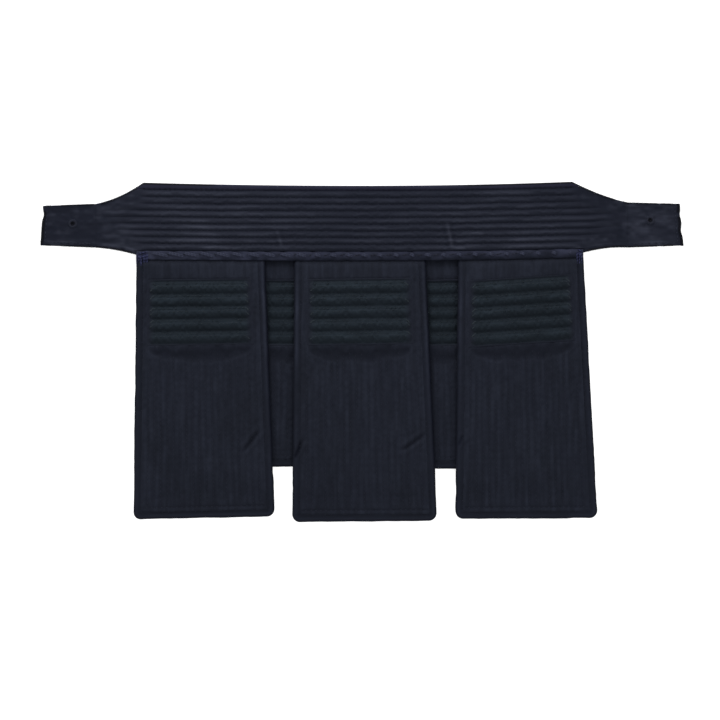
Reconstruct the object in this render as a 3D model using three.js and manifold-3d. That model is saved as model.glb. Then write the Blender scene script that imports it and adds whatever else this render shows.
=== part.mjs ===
// Kendo waist protector, laid on its back with its face up.
// Millimetres. +X runs along the belt, +Y towards the belt's upper edge and +Z up from the floor.
// The origin is on the floor, at the middle of the box round the whole outline.
import * as THREE from 'three';
import { mergeVertices } from 'three/addons/utils/BufferGeometryUtils.js';
import Module from 'manifold-3d';

const wasm = await Module();
wasm.setup();

// Clearance between neighbouring pieces, and how far a blank runs past the outline that trims it
const GAP = 0.3;
const OVERRUN = 4;

// Belt: a padded band with ribs along it, bound along its upper edge
const BELT_THICK = 10;
const RIB_COUNT = 9;
const RIB_PITCH = 6.68;
const RIB_DEPTH = 1.5;
const RIB_SHOULDER = 0.28 * RIB_PITCH;
const RIB_TOP_Y = 160.5;
const RIB_LOW_Y = RIB_TOP_Y - RIB_COUNT * RIB_PITCH;
const BELT_TOP_Y = 166;
const BINDING_LOW_Z = 0.6;
const BINDING_CROWN_Z = 9.3;
const BINDING_EDGE_Z = 8.2;
const BINDING_WIDTH = 5;
const BINDING_SHOULDER = 1.4;

// Wings and straps: the belt thins towards each strap, and its ribs fade out on the way
const WING_END_X = 266.6;
const WING_THICK = 5;
const RIB_FADE = 42;
const MARGIN_FADE = 16;
const WING_STEP = 9;
const BELT_STEP = 54;
const STRAP_THICK = 3.2;
const STRAP_ROUND = 0.5;
const EYELET_RADIUS = 1.8;
const EYELET_SIDES = 10;

// Seam: belt and flaps meet under the joining tape
const SEAM_Y = 95.4;
const SEAM_CLEARANCE = 0.8;
const SEAM_TOP_Z = 7;
const TAPE_LOW_Y = 91;
const TAPE_HIGH_Y = RIB_LOW_Y - GAP;
const TAPE_LOW_Z = SEAM_TOP_Z + GAP;
const TAPE_CROWN_Z = 9.7;
const TAPE_EDGE_Z = 8.6;
const TAPE_SHOULDER = 1.6;

// Flaps: quilted pads with a rolled edging round both sides and the hem
const EDGING_WIDTH = 6.5;
const CORNER_RADIUS = 7.3;
const CORNER_STEPS = 5;
const HEM_STEPS = 4;
const TAB_LENGTH = 4.6;
const PAD_SHOULDER = 3;
const PAD_SHOULDER_DROP = 1;
const PANEL_START = 22.6;
const PANEL_LENGTH = 64;
const PANEL_MARGIN = 0.8;
const DIP_LENGTH = 17;
const DIP_DEPTH = 1.2;
const QUILT_STEP = 11;
const COLUMN_STEP = 0.13;
const RIDGE_COUNT = 5;
const TILT_FADE = 130;

// Rounded sections, as shares of the piece's width and height: an edging's roll, and one ridge of a panel
const edgingRoll = [
  { across: 0.12, up: 0 }, { across: 1, up: 0 }, { across: 1, up: 0.84 }, { across: 0.75, up: 1 },
  { across: 0.34, up: 1 }, { across: 0.09, up: 0.77 }, { across: 0, up: 0.5 },
];
const ridgeRoll = [
  { along: 1, up: 0 }, { along: 0.75, up: 0.8 }, { along: 0.5, up: 1 }, { along: 0.25, up: 0.8 },
];

// The two makes of flap: pad thickness, thickness of the seam tab and the length in which the pad rises
// from it, heights of the edging, panel bed, grooves and ridges, and the panel's width
const OUTER = {
  thick: 6.5, tab: 3.5, bandRise: 4, edging: 5.7, bed: 4.4, groove: 5.6, crest: 8.1, panelWidth: 102,
};
const INNER = {
  thick: 4.6, tab: 3.2, bandRise: 16, edging: 4.2, bed: 2.2, groove: 3, crest: 4.5, panelWidth: 88,
};

// An outer flap's underside: seamed above the inner tab, then lying on the inner flap down to its hem
const SEAM_LIFT = INNER.tab + GAP;
const OVERLAP_LIFT = 5.2;
const LIFT_END = 215;

// How the belt runs out to each side, as the photograph shows it: corner of the upper edge, rise of the
// ribs at that corner, curve of the wing's edges, and the strap's end and eyelet
const sides = {
  left: {
    sign: -1, corner: 216.9, cornerY: 169, rise: 1, seamEnd: 225.5,
    wingTopBendY: 152.2, wingTopY: 147.8, wingLowBendY: 103.2, wingLowY: 104.6,
    strapTopX: 319.3, strapTopY: 146, strapLowX: 321.6, strapLowY: 106.7, eyeletX: 289.4, eyeletY: 128.3,
  },
  right: {
    sign: 1, corner: 208.1, cornerY: 169.7, rise: 3, seamEnd: 221.5,
    wingTopBendY: 154.4, wingTopY: 149, wingLowBendY: 105.2, wingLowY: 104.9,
    strapTopX: 316.2, strapTopY: 147.6, strapLowX: 321.6, strapLowY: 106.8, eyeletX: 288.6, eyeletY: 131.8,
  },
};

// One row for each flap: the x of its two edges at the seam and at the hem, the y of the hem's two ends,
// the x of its panel's middle, the panel's tilt in degrees, and where across it the lift over an inner flap
// starts and ends
const flaps = [
  { name: 'inner_left', make: INNER, seamLeft: -138.4, seamRight: -26.4, hemLeft: -139.5, hemRight: -21.5,
    hemLeftY: -114.4, hemRightY: -114.8, panelX: -82.2, tilt: 0.3 },
  { name: 'inner_right', make: INNER, seamLeft: 24.1, seamRight: 136.1, hemLeft: 24.6, hemRight: 142.6,
    hemLeftY: -116.8, hemRightY: -116.4, panelX: 80.6, tilt: 0.6 },
  { name: 'outer_left', make: OUTER, seamLeft: -225.1, seamRight: -97.4, hemLeft: -228, hemRight: -87.6,
    hemLeftY: -167.2, hemRightY: -164.4, panelX: -162.2, tilt: 0.8, liftFrom: 0, liftTo: 0.6 },
  { name: 'outer_centre', make: OUTER, seamLeft: -66.9, seamRight: 63.1, hemLeft: -69, hemRight: 74.7,
    hemLeftY: -169.7, hemRightY: -168.8, panelX: -2.2, tilt: 0.7, liftFrom: -1, liftTo: 0 },
  { name: 'outer_right', make: OUTER, seamLeft: 96.6, seamRight: 220.9, hemLeft: 94, hemRight: 235.3,
    hemLeftY: -166.8, hemRightY: -166, panelX: 159.4, tilt: 2.6, liftFrom: 1, liftTo: 0.4 },
];

// Soft dents pressed into the flaps' faces: place and direction of each crease, its length, breadth, depth
const dents = [
  { flap: 'outer_left', x: -110.5, y: -89.2, turn: 54, long: 26, broad: 9, deep: 1.3 },
  { flap: 'outer_centre', x: 51.1, y: -90.7, turn: 34, long: 28, broad: 9, deep: 1.3 },
  { flap: 'outer_centre', x: -61.5, y: -97.5, turn: 65, long: 24, broad: 8, deep: 0.9 },
  { flap: 'outer_right', x: 100.5, y: -89.2, turn: 66, long: 18, broad: 8, deep: 0.8 },
];

// Colours, as sRGB, with the cloth's roughness
const finishes = {
  waist_belt: { color: 0x23252f, roughness: 0.85 },
  belt_top_binding: { color: 0x292a38, roughness: 0.8 },
  joining_tape: { color: 0x2c2d45, roughness: 0.75 },
  strap: { color: 0x22242e, roughness: 0.9 },
  flap: { color: 0x1e212b, roughness: 0.9 },
  edging: { color: 0x1c1f2b, roughness: 0.85 },
  panel: { color: 0x1f2a2c, roughness: 0.85 },
};

const mix = THREE.MathUtils.lerp;
const clamp = THREE.MathUtils.clamp;
const smoothstep = THREE.MathUtils.smoothstep;

/** The side of the belt that an x lies on. */
const sideAt = (x) => (x < 0 ? sides.left : sides.right);

/** How far the belt's ribs and seam rise at x above the middle, a parabola to each corner. */
const rise = (x) => sideAt(x).rise * (x / sideAt(x).corner) ** 2;

/** Evenly spaced values from start to end, about step apart, both ends included. */
function spaced(start, end, step) {
  const count = Math.max(1, Math.round(Math.abs(end - start) / step));
  return Array.from({ length: count + 1 }, (_, i) => mix(start, end, i / count));
}

/** Six times the volume inside a closed indexed mesh, negative where its faces point in. */
function signedVolume(points, index) {
  let sum = 0;
  for (let i = 0; i < index.length; i += 3) {
    const [a, b, c] = [points[index[i]], points[index[i + 1]], points[index[i + 2]]];
    sum += a.dot(new THREE.Vector3().crossVectors(b, c));
  }
  return sum;
}

/**
 * A closed solid through a row of stations. profile(s) gives the ring at station s as [across, height]
 * pairs, place(s, across, height) puts a pair in space, and both ends are capped.
 */
function loft(stations, profile, place) {
  const profiles = stations.map((s) => profile(s));
  const points = profiles.flatMap((ring, i) =>
    ring.map(([across, height]) => place(stations[i], across, height)));
  const ringSize = profiles[0].length;
  const index = [];
  for (let i = 0; i < stations.length - 1; i++) {
    for (let k = 0; k < ringSize; k++) {
      const a = i * ringSize + k;
      const b = i * ringSize + ((k + 1) % ringSize);
      index.push(a, b, b + ringSize, a, b + ringSize, a + ringSize);
    }
  }
  const flat = (ring) => ring.map(([across, height]) => new THREE.Vector2(across, height));
  const last = (stations.length - 1) * ringSize;
  const windsBack = THREE.ShapeUtils.isClockWise(flat(profiles[0]));
  for (const [a, b, c] of THREE.ShapeUtils.triangulateShape(flat(profiles[0]), [])) {
    index.push(...(windsBack ? [a, b, c] : [a, c, b]));
  }
  for (const [a, b, c] of THREE.ShapeUtils.triangulateShape(flat(profiles.at(-1)), [])) {
    index.push(...(windsBack ? [last + a, last + c, last + b] : [last + a, last + b, last + c]));
  }
  if (signedVolume(points, index) < 0) {
    index.reverse();
  }
  const geometry = new THREE.BufferGeometry().setFromPoints(points);
  geometry.setIndex(index);
  return geometry;
}

/** A three.js geometry as a manifold solid. */
function toSolid(geometry) {
  const bare = geometry.clone();
  bare.deleteAttribute('normal');
  bare.deleteAttribute('uv');
  const merged = mergeVertices(bare, 1e-4);
  return new wasm.Manifold(new wasm.Mesh({
    numProp: 3,
    vertProperties: new Float32Array(merged.attributes.position.array),
    triVerts: new Uint32Array(merged.index.array),
  }));
}

/** A manifold solid as a three.js geometry. */
function toGeometry(solid) {
  const { vertProperties, triVerts } = solid.getMesh();
  const geometry = new THREE.BufferGeometry();
  geometry.setAttribute('position', new THREE.BufferAttribute(new Float32Array(vertProperties), 3));
  geometry.setIndex([...triVerts]);
  return geometry;
}

/** The belt's outline from strap to strap: curved wings, a sagging upper edge and the seam. */
function beltOutline() {
  const { left, right } = sides;
  const seamLow = SEAM_Y + SEAM_CLEARANCE / 2;
  const wingMiddle = (side, start) => side.sign * (start + WING_END_X) / 2;
  const outline = new THREE.Shape();
  outline.moveTo(-WING_END_X, left.wingLowY);
  outline.quadraticCurveTo(
    wingMiddle(left, left.seamEnd), left.wingLowBendY, -left.seamEnd, seamLow + rise(-left.seamEnd));
  outline.quadraticCurveTo(-left.seamEnd / 2, seamLow, 0, seamLow);
  outline.quadraticCurveTo(right.seamEnd / 2, seamLow, right.seamEnd, seamLow + rise(right.seamEnd));
  outline.quadraticCurveTo(
    wingMiddle(right, right.seamEnd), right.wingLowBendY, WING_END_X, right.wingLowY);
  outline.lineTo(WING_END_X, right.wingTopY);
  outline.quadraticCurveTo(wingMiddle(right, right.corner), right.wingTopBendY, right.corner, right.cornerY);
  outline.quadraticCurveTo(right.corner / 2, BELT_TOP_Y, 0, BELT_TOP_Y);
  outline.quadraticCurveTo(-left.corner / 2, BELT_TOP_Y, -left.corner, left.cornerY);
  outline.quadraticCurveTo(wingMiddle(left, left.corner), left.wingTopBendY, -WING_END_X, left.wingTopY);
  return outline;
}

/** The upright prism inside the belt's outline, taller than the belt, which trims what is cut by it. */
function beltTrimmer() {
  const prism = new THREE.ExtrudeGeometry(beltOutline(), {
    depth: 3 * BELT_THICK, curveSegments: 6, bevelEnabled: false,
  });
  return toSolid(prism.translate(0, 0, -BELT_THICK));
}

/** Thickness of the belt at x, full between its corners and thinner towards each strap. */
const beltThickness = (x) =>
  mix(BELT_THICK, WING_THICK, smoothstep(Math.abs(x), sideAt(x).corner, WING_END_X));

/** Depth of the grooves between the ribs at x, which fade out along each wing. */
const grooveDepth = (x) =>
  RIB_DEPTH * (1 - smoothstep(Math.abs(x), sideAt(x).corner, sideAt(x).corner + RIB_FADE));

/** The belt's section at x: a flat back, the low margin under the tape, and ribs with sewn grooves. */
function beltSection(x) {
  const thick = beltThickness(x);
  const groove = thick - grooveDepth(x);
  const seamEnd = sideAt(x).seamEnd;
  const margin = mix(SEAM_TOP_Z, groove, smoothstep(Math.abs(x), seamEnd, seamEnd + MARGIN_FADE));
  const lowY = SEAM_Y - OVERRUN;
  const ring = [[lowY, 0], [RIB_TOP_Y, 0], [RIB_TOP_Y, groove]];
  for (let rib = 0; rib < RIB_COUNT; rib++) {
    const top = RIB_TOP_Y - rib * RIB_PITCH;
    ring.push([top - RIB_SHOULDER, thick]);
    ring.push([top - RIB_PITCH + RIB_SHOULDER, thick]);
    ring.push([top - RIB_PITCH, groove]);
  }
  ring.push([TAPE_HIGH_Y + GAP / 2, margin], [lowY, margin]);
  return ring;
}

/** Stations along the belt: close together in the wings, further apart between the corners. */
function beltStations() {
  return [
    ...spaced(-WING_END_X - OVERRUN, -sides.left.seamEnd, WING_STEP),
    ...spaced(-sides.left.corner, 0, BELT_STEP),
    ...spaced(0, sides.right.corner, BELT_STEP).slice(1),
    ...spaced(sides.right.seamEnd, WING_END_X + OVERRUN, WING_STEP),
  ];
}

/** The ribbed belt with its two wings. */
function waistBelt() {
  const slab = loft(beltStations(), beltSection, (x, y, z) => new THREE.Vector3(x, y + rise(x), z));
  return toGeometry(toSolid(slab).intersect(beltTrimmer()));
}

/** The rolled strip along the belt's upper edge, its ends running out with the wings' slope. */
function topBinding() {
  const low = RIB_TOP_Y + GAP;
  const high = low + BINDING_WIDTH;
  const ring = [
    [low, BINDING_LOW_Z], [high + OVERRUN, BINDING_LOW_Z], [high + OVERRUN, BINDING_EDGE_Z],
    [high, BINDING_EDGE_Z], [high - BINDING_SHOULDER, BINDING_CROWN_Z],
    [low + BINDING_SHOULDER, BINDING_CROWN_Z], [low, BINDING_EDGE_Z],
  ];
  const strip = loft(beltStations(), () => ring, (x, y, z) => new THREE.Vector3(x, y + rise(x), z));
  return toGeometry(toSolid(strip).intersect(beltTrimmer()));
}

/** The band over the seam between belt and flaps, with a slightly crowned face. */
function joiningTape() {
  const ring = [
    [TAPE_LOW_Y, TAPE_LOW_Z], [TAPE_HIGH_Y, TAPE_LOW_Z], [TAPE_HIGH_Y, TAPE_EDGE_Z],
    [TAPE_HIGH_Y - TAPE_SHOULDER, TAPE_CROWN_Z], [TAPE_LOW_Y + TAPE_SHOULDER, TAPE_CROWN_Z],
    [TAPE_LOW_Y, TAPE_EDGE_Z],
  ];
  const stations = spaced(-sides.left.seamEnd + GAP, sides.right.seamEnd - GAP, BELT_STEP / 2);
  return loft(stations, () => ring, (x, y, z) => new THREE.Vector3(x, y + rise(x), z));
}

/** A strap end: a flat doubled tape with a slanting end and one eyelet, sewn end to end with the wing. */
function strap(side) {
  const at = (x, y) => new THREE.Vector2(side.sign * x, y);
  const root = WING_END_X + GAP;
  const shape = new THREE.Shape([
    at(root, side.wingLowY), at(side.strapLowX, side.strapLowY),
    at(side.strapTopX, side.strapTopY), at(root, side.wingTopY),
  ]);
  const eyelet = new THREE.Path();
  eyelet.absarc(side.sign * side.eyeletX, side.eyeletY, EYELET_RADIUS, 0, 2 * Math.PI);
  shape.holes.push(eyelet);
  const geometry = new THREE.ExtrudeGeometry(shape, {
    depth: STRAP_THICK - 2 * STRAP_ROUND, curveSegments: EYELET_SIDES,
    bevelThickness: STRAP_ROUND, bevelSize: STRAP_ROUND, bevelOffset: -STRAP_ROUND, bevelSegments: 1,
  });
  return geometry.translate(0, 0, STRAP_ROUND);
}

/** The flap's length from seam to hem at its longer edge. */
const flapLength = (flap) => SEAM_Y - SEAM_CLEARANCE / 2 - Math.min(flap.hemLeftY, flap.hemRightY);

/**
 * A point of a flap from above. across runs from 0 at its left outline to 1 at its right, inset moves both
 * edges in, and down is the distance from the seam. The rows lean with the panel and come level again at
 * seam and hem.
 */
function flapPoint(flap, across, down, inset = 0) {
  const share = down / flapLength(flap);
  const leftX = mix(flap.seamLeft, flap.hemLeft, share) + inset;
  const rightX = mix(flap.seamRight, flap.hemRight, share) - inset;
  const x = mix(leftX, rightX, across);
  const seamY = SEAM_Y - SEAM_CLEARANCE / 2;
  const topY = seamY + mix(rise(flap.seamLeft), rise(flap.seamRight), across);
  const hemY = mix(flap.hemLeftY, flap.hemRightY, across);
  const level = smoothstep(down, PANEL_START + PANEL_LENGTH, TILT_FADE);
  const lean = smoothstep(down, 0, PANEL_START) * (1 - level);
  const tilt = Math.tan(THREE.MathUtils.degToRad(flap.tilt)) * lean;
  return new THREE.Vector2(x, mix(topY, hemY, share) + tilt * (x - mix(leftX, rightX, 0.5)));
}

/** Height of a flap's underside: on the floor, or for an outer flap on the inner flap that it overlaps. */
function underside(flap, across, down) {
  if (flap.make === INNER) {
    return 0;
  }
  const overlap = clamp((across - flap.liftFrom) / (flap.liftTo - flap.liftFrom), 0, 1);
  const lying = OVERLAP_LIFT * overlap * (1 - smoothstep(down, LIFT_END, flapLength(flap)));
  return mix(SEAM_LIFT, lying, clamp((down - TAB_LENGTH) / (PANEL_START - TAB_LENGTH), 0, 1));
}

/** How deep the dents press into a flap's face at a point: each is a long soft oval. */
function dentDepth(flap, point) {
  let depth = 0;
  for (const dent of dents.filter((row) => row.flap === flap.name)) {
    const turn = THREE.MathUtils.degToRad(dent.turn);
    const centre = new THREE.Vector2(dent.x, dent.y);
    const away = point.clone().rotateAround(centre, -turn).sub(centre);
    const reach = (away.x / (dent.long / 2)) ** 2 + (away.y / (dent.broad / 2)) ** 2;
    depth += dent.deep * Math.exp(-reach);
  }
  return depth;
}

/**
 * Columns across a pad, each at a share of the pad's width: its edges, their shoulders, and steps over the
 * panel's bed. A panel's own columns are the bed's, drawn in at both ends.
 */
function padColumns(flap) {
  const inset = EDGING_WIDTH + GAP;
  const middle = PANEL_START + PANEL_LENGTH / 2;
  const left = flapPoint(flap, 0, middle, inset).x;
  const right = flapPoint(flap, 1, middle, inset).x;
  const share = (x) => (x - left) / (right - left);
  const half = flap.make.panelWidth / 2;
  const bedLeft = share(flap.panelX - half);
  const bedRight = share(flap.panelX + half);
  const margin = share(left + PANEL_MARGIN);
  const shoulder = share(left + PAD_SHOULDER);
  const slack = share(left + GAP);
  const bed = spaced(bedLeft, bedRight, COLUMN_STEP).map((at) => ({ at, bed: true, edge: false }));
  const plain = (at) => ({ at, bed: false, edge: at === 0 || at === 1 });
  return {
    pad: [
      plain(0), plain(shoulder), plain(bedLeft - margin), ...bed,
      plain(bedRight + margin), plain(1 - shoulder), plain(1),
    ],
    panel: [bedLeft + slack, ...bed.slice(1, -1).map(({ at }) => at), bedRight - slack],
  };
}

/** A pad's column as a share of the flap's full width, at a distance down from the seam. */
function shareOfFlap(flap, column, down) {
  const inset = EDGING_WIDTH + GAP;
  const width = flapPoint(flap, 1, down).x - flapPoint(flap, 0, down).x;
  return (inset + column * (width - 2 * inset)) / width;
}

/** Rows down a pad's face with its thickness at each: tab, plain band, panel bed, dip, quilting and hem. */
function padRows(flap, column) {
  const { thick, tab, bandRise, bed } = flap.make;
  const end = flapLength(flap) - EDGING_WIDTH - GAP;
  const bedEnd = PANEL_START + PANEL_LENGTH;
  const face = thick - (column.edge ? PAD_SHOULDER_DROP : 0);
  const floorOfBed = column.bed ? bed : face;
  const dip = column.edge ? 0 : DIP_DEPTH * (thick / OUTER.thick);
  const quilt = spaced(bedEnd + DIP_LENGTH, end - PAD_SHOULDER, QUILT_STEP);
  return [
    [0, tab], [TAB_LENGTH, tab], [TAB_LENGTH + bandRise, face], [PANEL_START - PANEL_MARGIN, face],
    [PANEL_START, floorOfBed], [bedEnd, floorOfBed], [bedEnd + PANEL_MARGIN, face],
    [bedEnd + DIP_LENGTH / 2, face - dip],
    ...quilt.map((down) => [down, face]),
    [end, thick - PAD_SHOULDER_DROP],
  ];
}

/** Rows down a pad's back, where it follows what it lies on. */
const backRows = (flap) => [
  0, TAB_LENGTH, PANEL_START, ...spaced(LIFT_END, flapLength(flap) - EDGING_WIDTH - GAP, QUILT_STEP),
];

/** A flap's quilted pad, lofted from column to column across its width. */
function flapPad(flap) {
  const inset = EDGING_WIDTH + GAP;
  const back = flap.make === INNER ? [0, flapLength(flap) - inset] : backRows(flap);
  const section = (column) => {
    const low = (down) => underside(flap, shareOfFlap(flap, column.at, down), down);
    const top = padRows(flap, column).map(([down, thick]) => {
      const dent = column.edge ? 0 : dentDepth(flap, flapPoint(flap, column.at, down, inset));
      return [down, low(down) + thick - dent];
    });
    return [...back.map((down) => [down, low(down)]), ...top.reverse()];
  };
  return loft(padColumns(flap).pad, section, ({ at }, down, z) => {
    const { x, y } = flapPoint(flap, at, down, inset);
    return new THREE.Vector3(x, y, z);
  });
}

/** A flap's ornament panel: padded ridges across it in the bed of the pad, following the pad's lie. */
function flapPanel(flap) {
  const inset = EDGING_WIDTH + GAP;
  const { bed, groove, crest } = flap.make;
  const start = PANEL_START + PANEL_MARGIN;
  const pitch = (PANEL_LENGTH - 2 * PANEL_MARGIN) / RIDGE_COUNT;
  const end = start + RIDGE_COUNT * pitch;
  const profile = [[start, bed + GAP], [end, bed + GAP]];
  for (let ridge = RIDGE_COUNT - 1; ridge >= 0; ridge--) {
    for (const { along, up } of ridgeRoll) {
      profile.push([start + (ridge + along) * pitch, mix(groove, crest, up)]);
    }
  }
  profile.push([start, groove]);
  const section = (at) => profile.map(([down, height]) => [
    down, height + underside(flap, shareOfFlap(flap, at, down), down),
  ]);
  return loft(padColumns(flap).panel, section, (at, down, z) => {
    const { x, y } = flapPoint(flap, at, down, inset);
    return new THREE.Vector3(x, y, z);
  });
}

/**
 * The way an edging runs, as points of the flap's outline with the direction in towards the pad: down the
 * left side, round a corner, along the hem, round the other corner and up the right side.
 */
function edgingPath(flap) {
  const length = flapLength(flap);
  const start = TAB_LENGTH + GAP;
  const cornerStart = length - CORNER_RADIUS;
  const downs = [
    start, start + flap.make.bandRise, PANEL_START,
    ...spaced(PANEL_START + PANEL_LENGTH, LIFT_END, PANEL_LENGTH),
    ...spaced(LIFT_END, cornerStart, QUILT_STEP).slice(1),
  ].filter((down) => down <= cornerStart);
  const inwards = (across) => new THREE.Vector2(across === 0 ? 1 : -1, 0);
  const cornerCentre = (across) =>
    flapPoint(flap, across, cornerStart).addScaledVector(inwards(across), CORNER_RADIUS);
  const side = (across) => downs.map((down) => ({
    point: flapPoint(flap, across, down), inward: inwards(across), across, down,
  }));
  const corner = (across) => Array.from({ length: CORNER_STEPS - 1 }, (_, i) => {
    const turn = ((i + 1) / CORNER_STEPS) * (Math.PI / 2);
    const inward = new THREE.Vector2(Math.cos(turn) * inwards(across).x, Math.sin(turn));
    const down = cornerStart + CORNER_RADIUS * Math.sin(turn);
    return { point: cornerCentre(across).addScaledVector(inward, -CORNER_RADIUS), inward, across, down };
  });
  const hem = spaced(0, 1, 1 / HEM_STEPS).map((across) => {
    const inward = new THREE.Vector2(0, 1);
    const point = cornerCentre(0).lerp(cornerCentre(1), across).addScaledVector(inward, -CORNER_RADIUS);
    return { point, inward, across, down: length };
  });
  return [...side(0), ...corner(0), ...hem, ...corner(1).reverse(), ...side(1).reverse()];
}

/** A flap's rolled edging: a rounded bar carried round the outline, no taller than the tab at its start. */
function flapEdging(flap) {
  const { tab, bandRise, edging } = flap.make;
  const ring = ({ down }) => {
    const tall = mix(Math.min(tab - GAP, edging), edging, clamp((down - TAB_LENGTH) / bandRise, 0, 1));
    return edgingRoll.map((step) => [step.across * EDGING_WIDTH, step.up * tall]);
  };
  return loft(edgingPath(flap), ring, ({ point, inward, across, down }, width, height) => {
    const at = point.clone().addScaledVector(inward, width);
    return new THREE.Vector3(at.x, at.y, height + underside(flap, across, down));
  });
}

const protector = new THREE.Group();

/** Adds one named piece with a finish of its own. */
function add(name, geometry, finish) {
  geometry.computeVertexNormals();
  const material = new THREE.MeshStandardMaterial({ ...finishes[finish], metalness: 0 });
  const mesh = new THREE.Mesh(geometry, material);
  mesh.name = name;
  protector.add(mesh);
}

add('waist_belt', waistBelt(), 'waist_belt');
add('belt_top_binding', topBinding(), 'belt_top_binding');
add('joining_tape', joiningTape(), 'joining_tape');
add('strap_left', strap(sides.left), 'strap');
add('strap_right', strap(sides.right), 'strap');
for (const flap of flaps) {
  const [layer, place] = flap.name.split('_');
  add(`${layer}_flap_${place}`, flapPad(flap), 'flap');
  add(`${layer}_edging_${place}`, flapEdging(flap), 'edging');
  add(`${layer}_panel_${place}`, flapPanel(flap), 'panel');
}

export default protector;
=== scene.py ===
"""Kendo waist protector, laid on its back: its cloth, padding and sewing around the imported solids.

Lengths are millimetres, as on a cutting pattern, and become metres where a mesh is made.
Every surface is an array of points, worked out whole from two parameters.
"""

import bpy
import numpy as np
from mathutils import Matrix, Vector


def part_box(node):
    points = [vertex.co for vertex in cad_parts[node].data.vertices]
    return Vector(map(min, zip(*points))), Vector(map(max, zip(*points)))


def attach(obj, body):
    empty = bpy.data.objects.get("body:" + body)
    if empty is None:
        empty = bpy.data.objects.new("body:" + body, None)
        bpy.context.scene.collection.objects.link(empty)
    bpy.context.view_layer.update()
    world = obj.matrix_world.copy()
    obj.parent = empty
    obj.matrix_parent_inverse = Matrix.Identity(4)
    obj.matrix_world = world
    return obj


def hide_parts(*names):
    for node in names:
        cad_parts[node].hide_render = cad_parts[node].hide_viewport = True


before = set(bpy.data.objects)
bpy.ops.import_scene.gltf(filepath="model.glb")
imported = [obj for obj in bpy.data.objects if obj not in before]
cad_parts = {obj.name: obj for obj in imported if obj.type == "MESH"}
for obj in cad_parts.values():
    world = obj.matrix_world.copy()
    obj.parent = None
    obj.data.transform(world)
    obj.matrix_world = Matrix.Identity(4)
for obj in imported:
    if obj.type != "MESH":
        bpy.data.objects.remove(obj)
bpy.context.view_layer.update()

MM = 0.001
TINY = 1e-9

# Clearance between neighbouring pieces, and the wear of cloth that is out of sight
GAP = 0.3
BACK_WEAR = 0.4

# Belt: a padded band with ribs along it, thinning to a wing at each end
BELT_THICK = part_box("waist_belt")[1].z / MM
WING_END_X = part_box("waist_belt")[1].x / MM
WING_THICK = 5.0
BELT_TOP_Y = 166.0
BELT_HEIGHT = 65.0
RIB_COUNT = 9
RIB_PITCH = 6.68
RIB_DEPTH = 1.5
RIB_TOP_Y = 160.5
RIB_LOW_Y = RIB_TOP_Y - RIB_COUNT * RIB_PITCH
RIM_STEPS = np.array([0, 0.15, 0.5, 1.1, 2.0])
BELT_RIM = RIM_STEPS[-1]
BINDING_TUCK = 2.0
BINDING_LOW_Z, BINDING_HIGH_Z = (corner.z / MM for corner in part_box("belt_top_binding"))

# Seam: belt and flaps meet under the joining tape
SEAM_Y = 95.4
SEAM_CLEARANCE = 0.8
BELT_SEAM_Y = SEAM_Y + SEAM_CLEARANCE / 2
FLAP_SEAM_Y = SEAM_Y - SEAM_CLEARANCE / 2
SEAM_TOP_Z = 7.0
TAPE_LOW_Y = 91.0
TAPE_HIGH_Y = RIB_LOW_Y - GAP
TAPE_MIDDLE_Y = (TAPE_LOW_Y + TAPE_HIGH_Y) / 2
TAPE_LOW_Z, TAPE_HIGH_Z = (corner.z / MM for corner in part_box("joining_tape"))
LACING_PITCH = 15.75

# Straps: doubled cloth with a turned hem and a sewn eyelet
STRAP_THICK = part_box("strap_left")[1].z / MM
STRAP_FACE = STRAP_THICK - 0.5
STRAP_TUCK = 2.5
STRAP_RIM = 0.8
STRAP_HEM = 3.6
EYELET_RADIUS = 1.8

# Flaps: quilted pads with a rolled edging and an ornament panel
EDGING_WIDTH = 6.5
INSET = EDGING_WIDTH + GAP
EDGING_TUCK = 1.5
CORNER_RADIUS = 7.3
TAB_LENGTH = 4.6
PAD_SHOULDER = 2.5
PAD_SHOULDER_DROP = 0.3
PANEL_START = 22.6
PANEL_LENGTH = 64.0
PANEL_END = PANEL_START + PANEL_LENGTH
PANEL_MARGIN = 0.8
DIP_LENGTH = 17.0
DIP_DEPTH = 1.5
TILT_FADE = 130.0
RIDGE_COUNT = 5
QUILT_PITCH = 6.15
QUILT_DEPTH = 0.32
QUILT_HALF = 1.4
STITCH_PITCH = 4.2
STITCH_STAGGER = 0.37
HEM_LINE = 11.0 - INSET

OUTER = dict(
    thick=6.5, tab=3.5, band_rise=4.0, edging=5.7, bed=4.4, groove=5.6, crest=8.1, panel_width=102.0)
INNER = dict(
    thick=4.6, tab=3.2, band_rise=16.0, edging=4.2, bed=2.2, groove=3.0, crest=4.5, panel_width=88.0)
SEAM_LIFT = INNER["tab"] + GAP
OVERLAP_LIFT = 5.2
LIFT_END = 205.0

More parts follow.
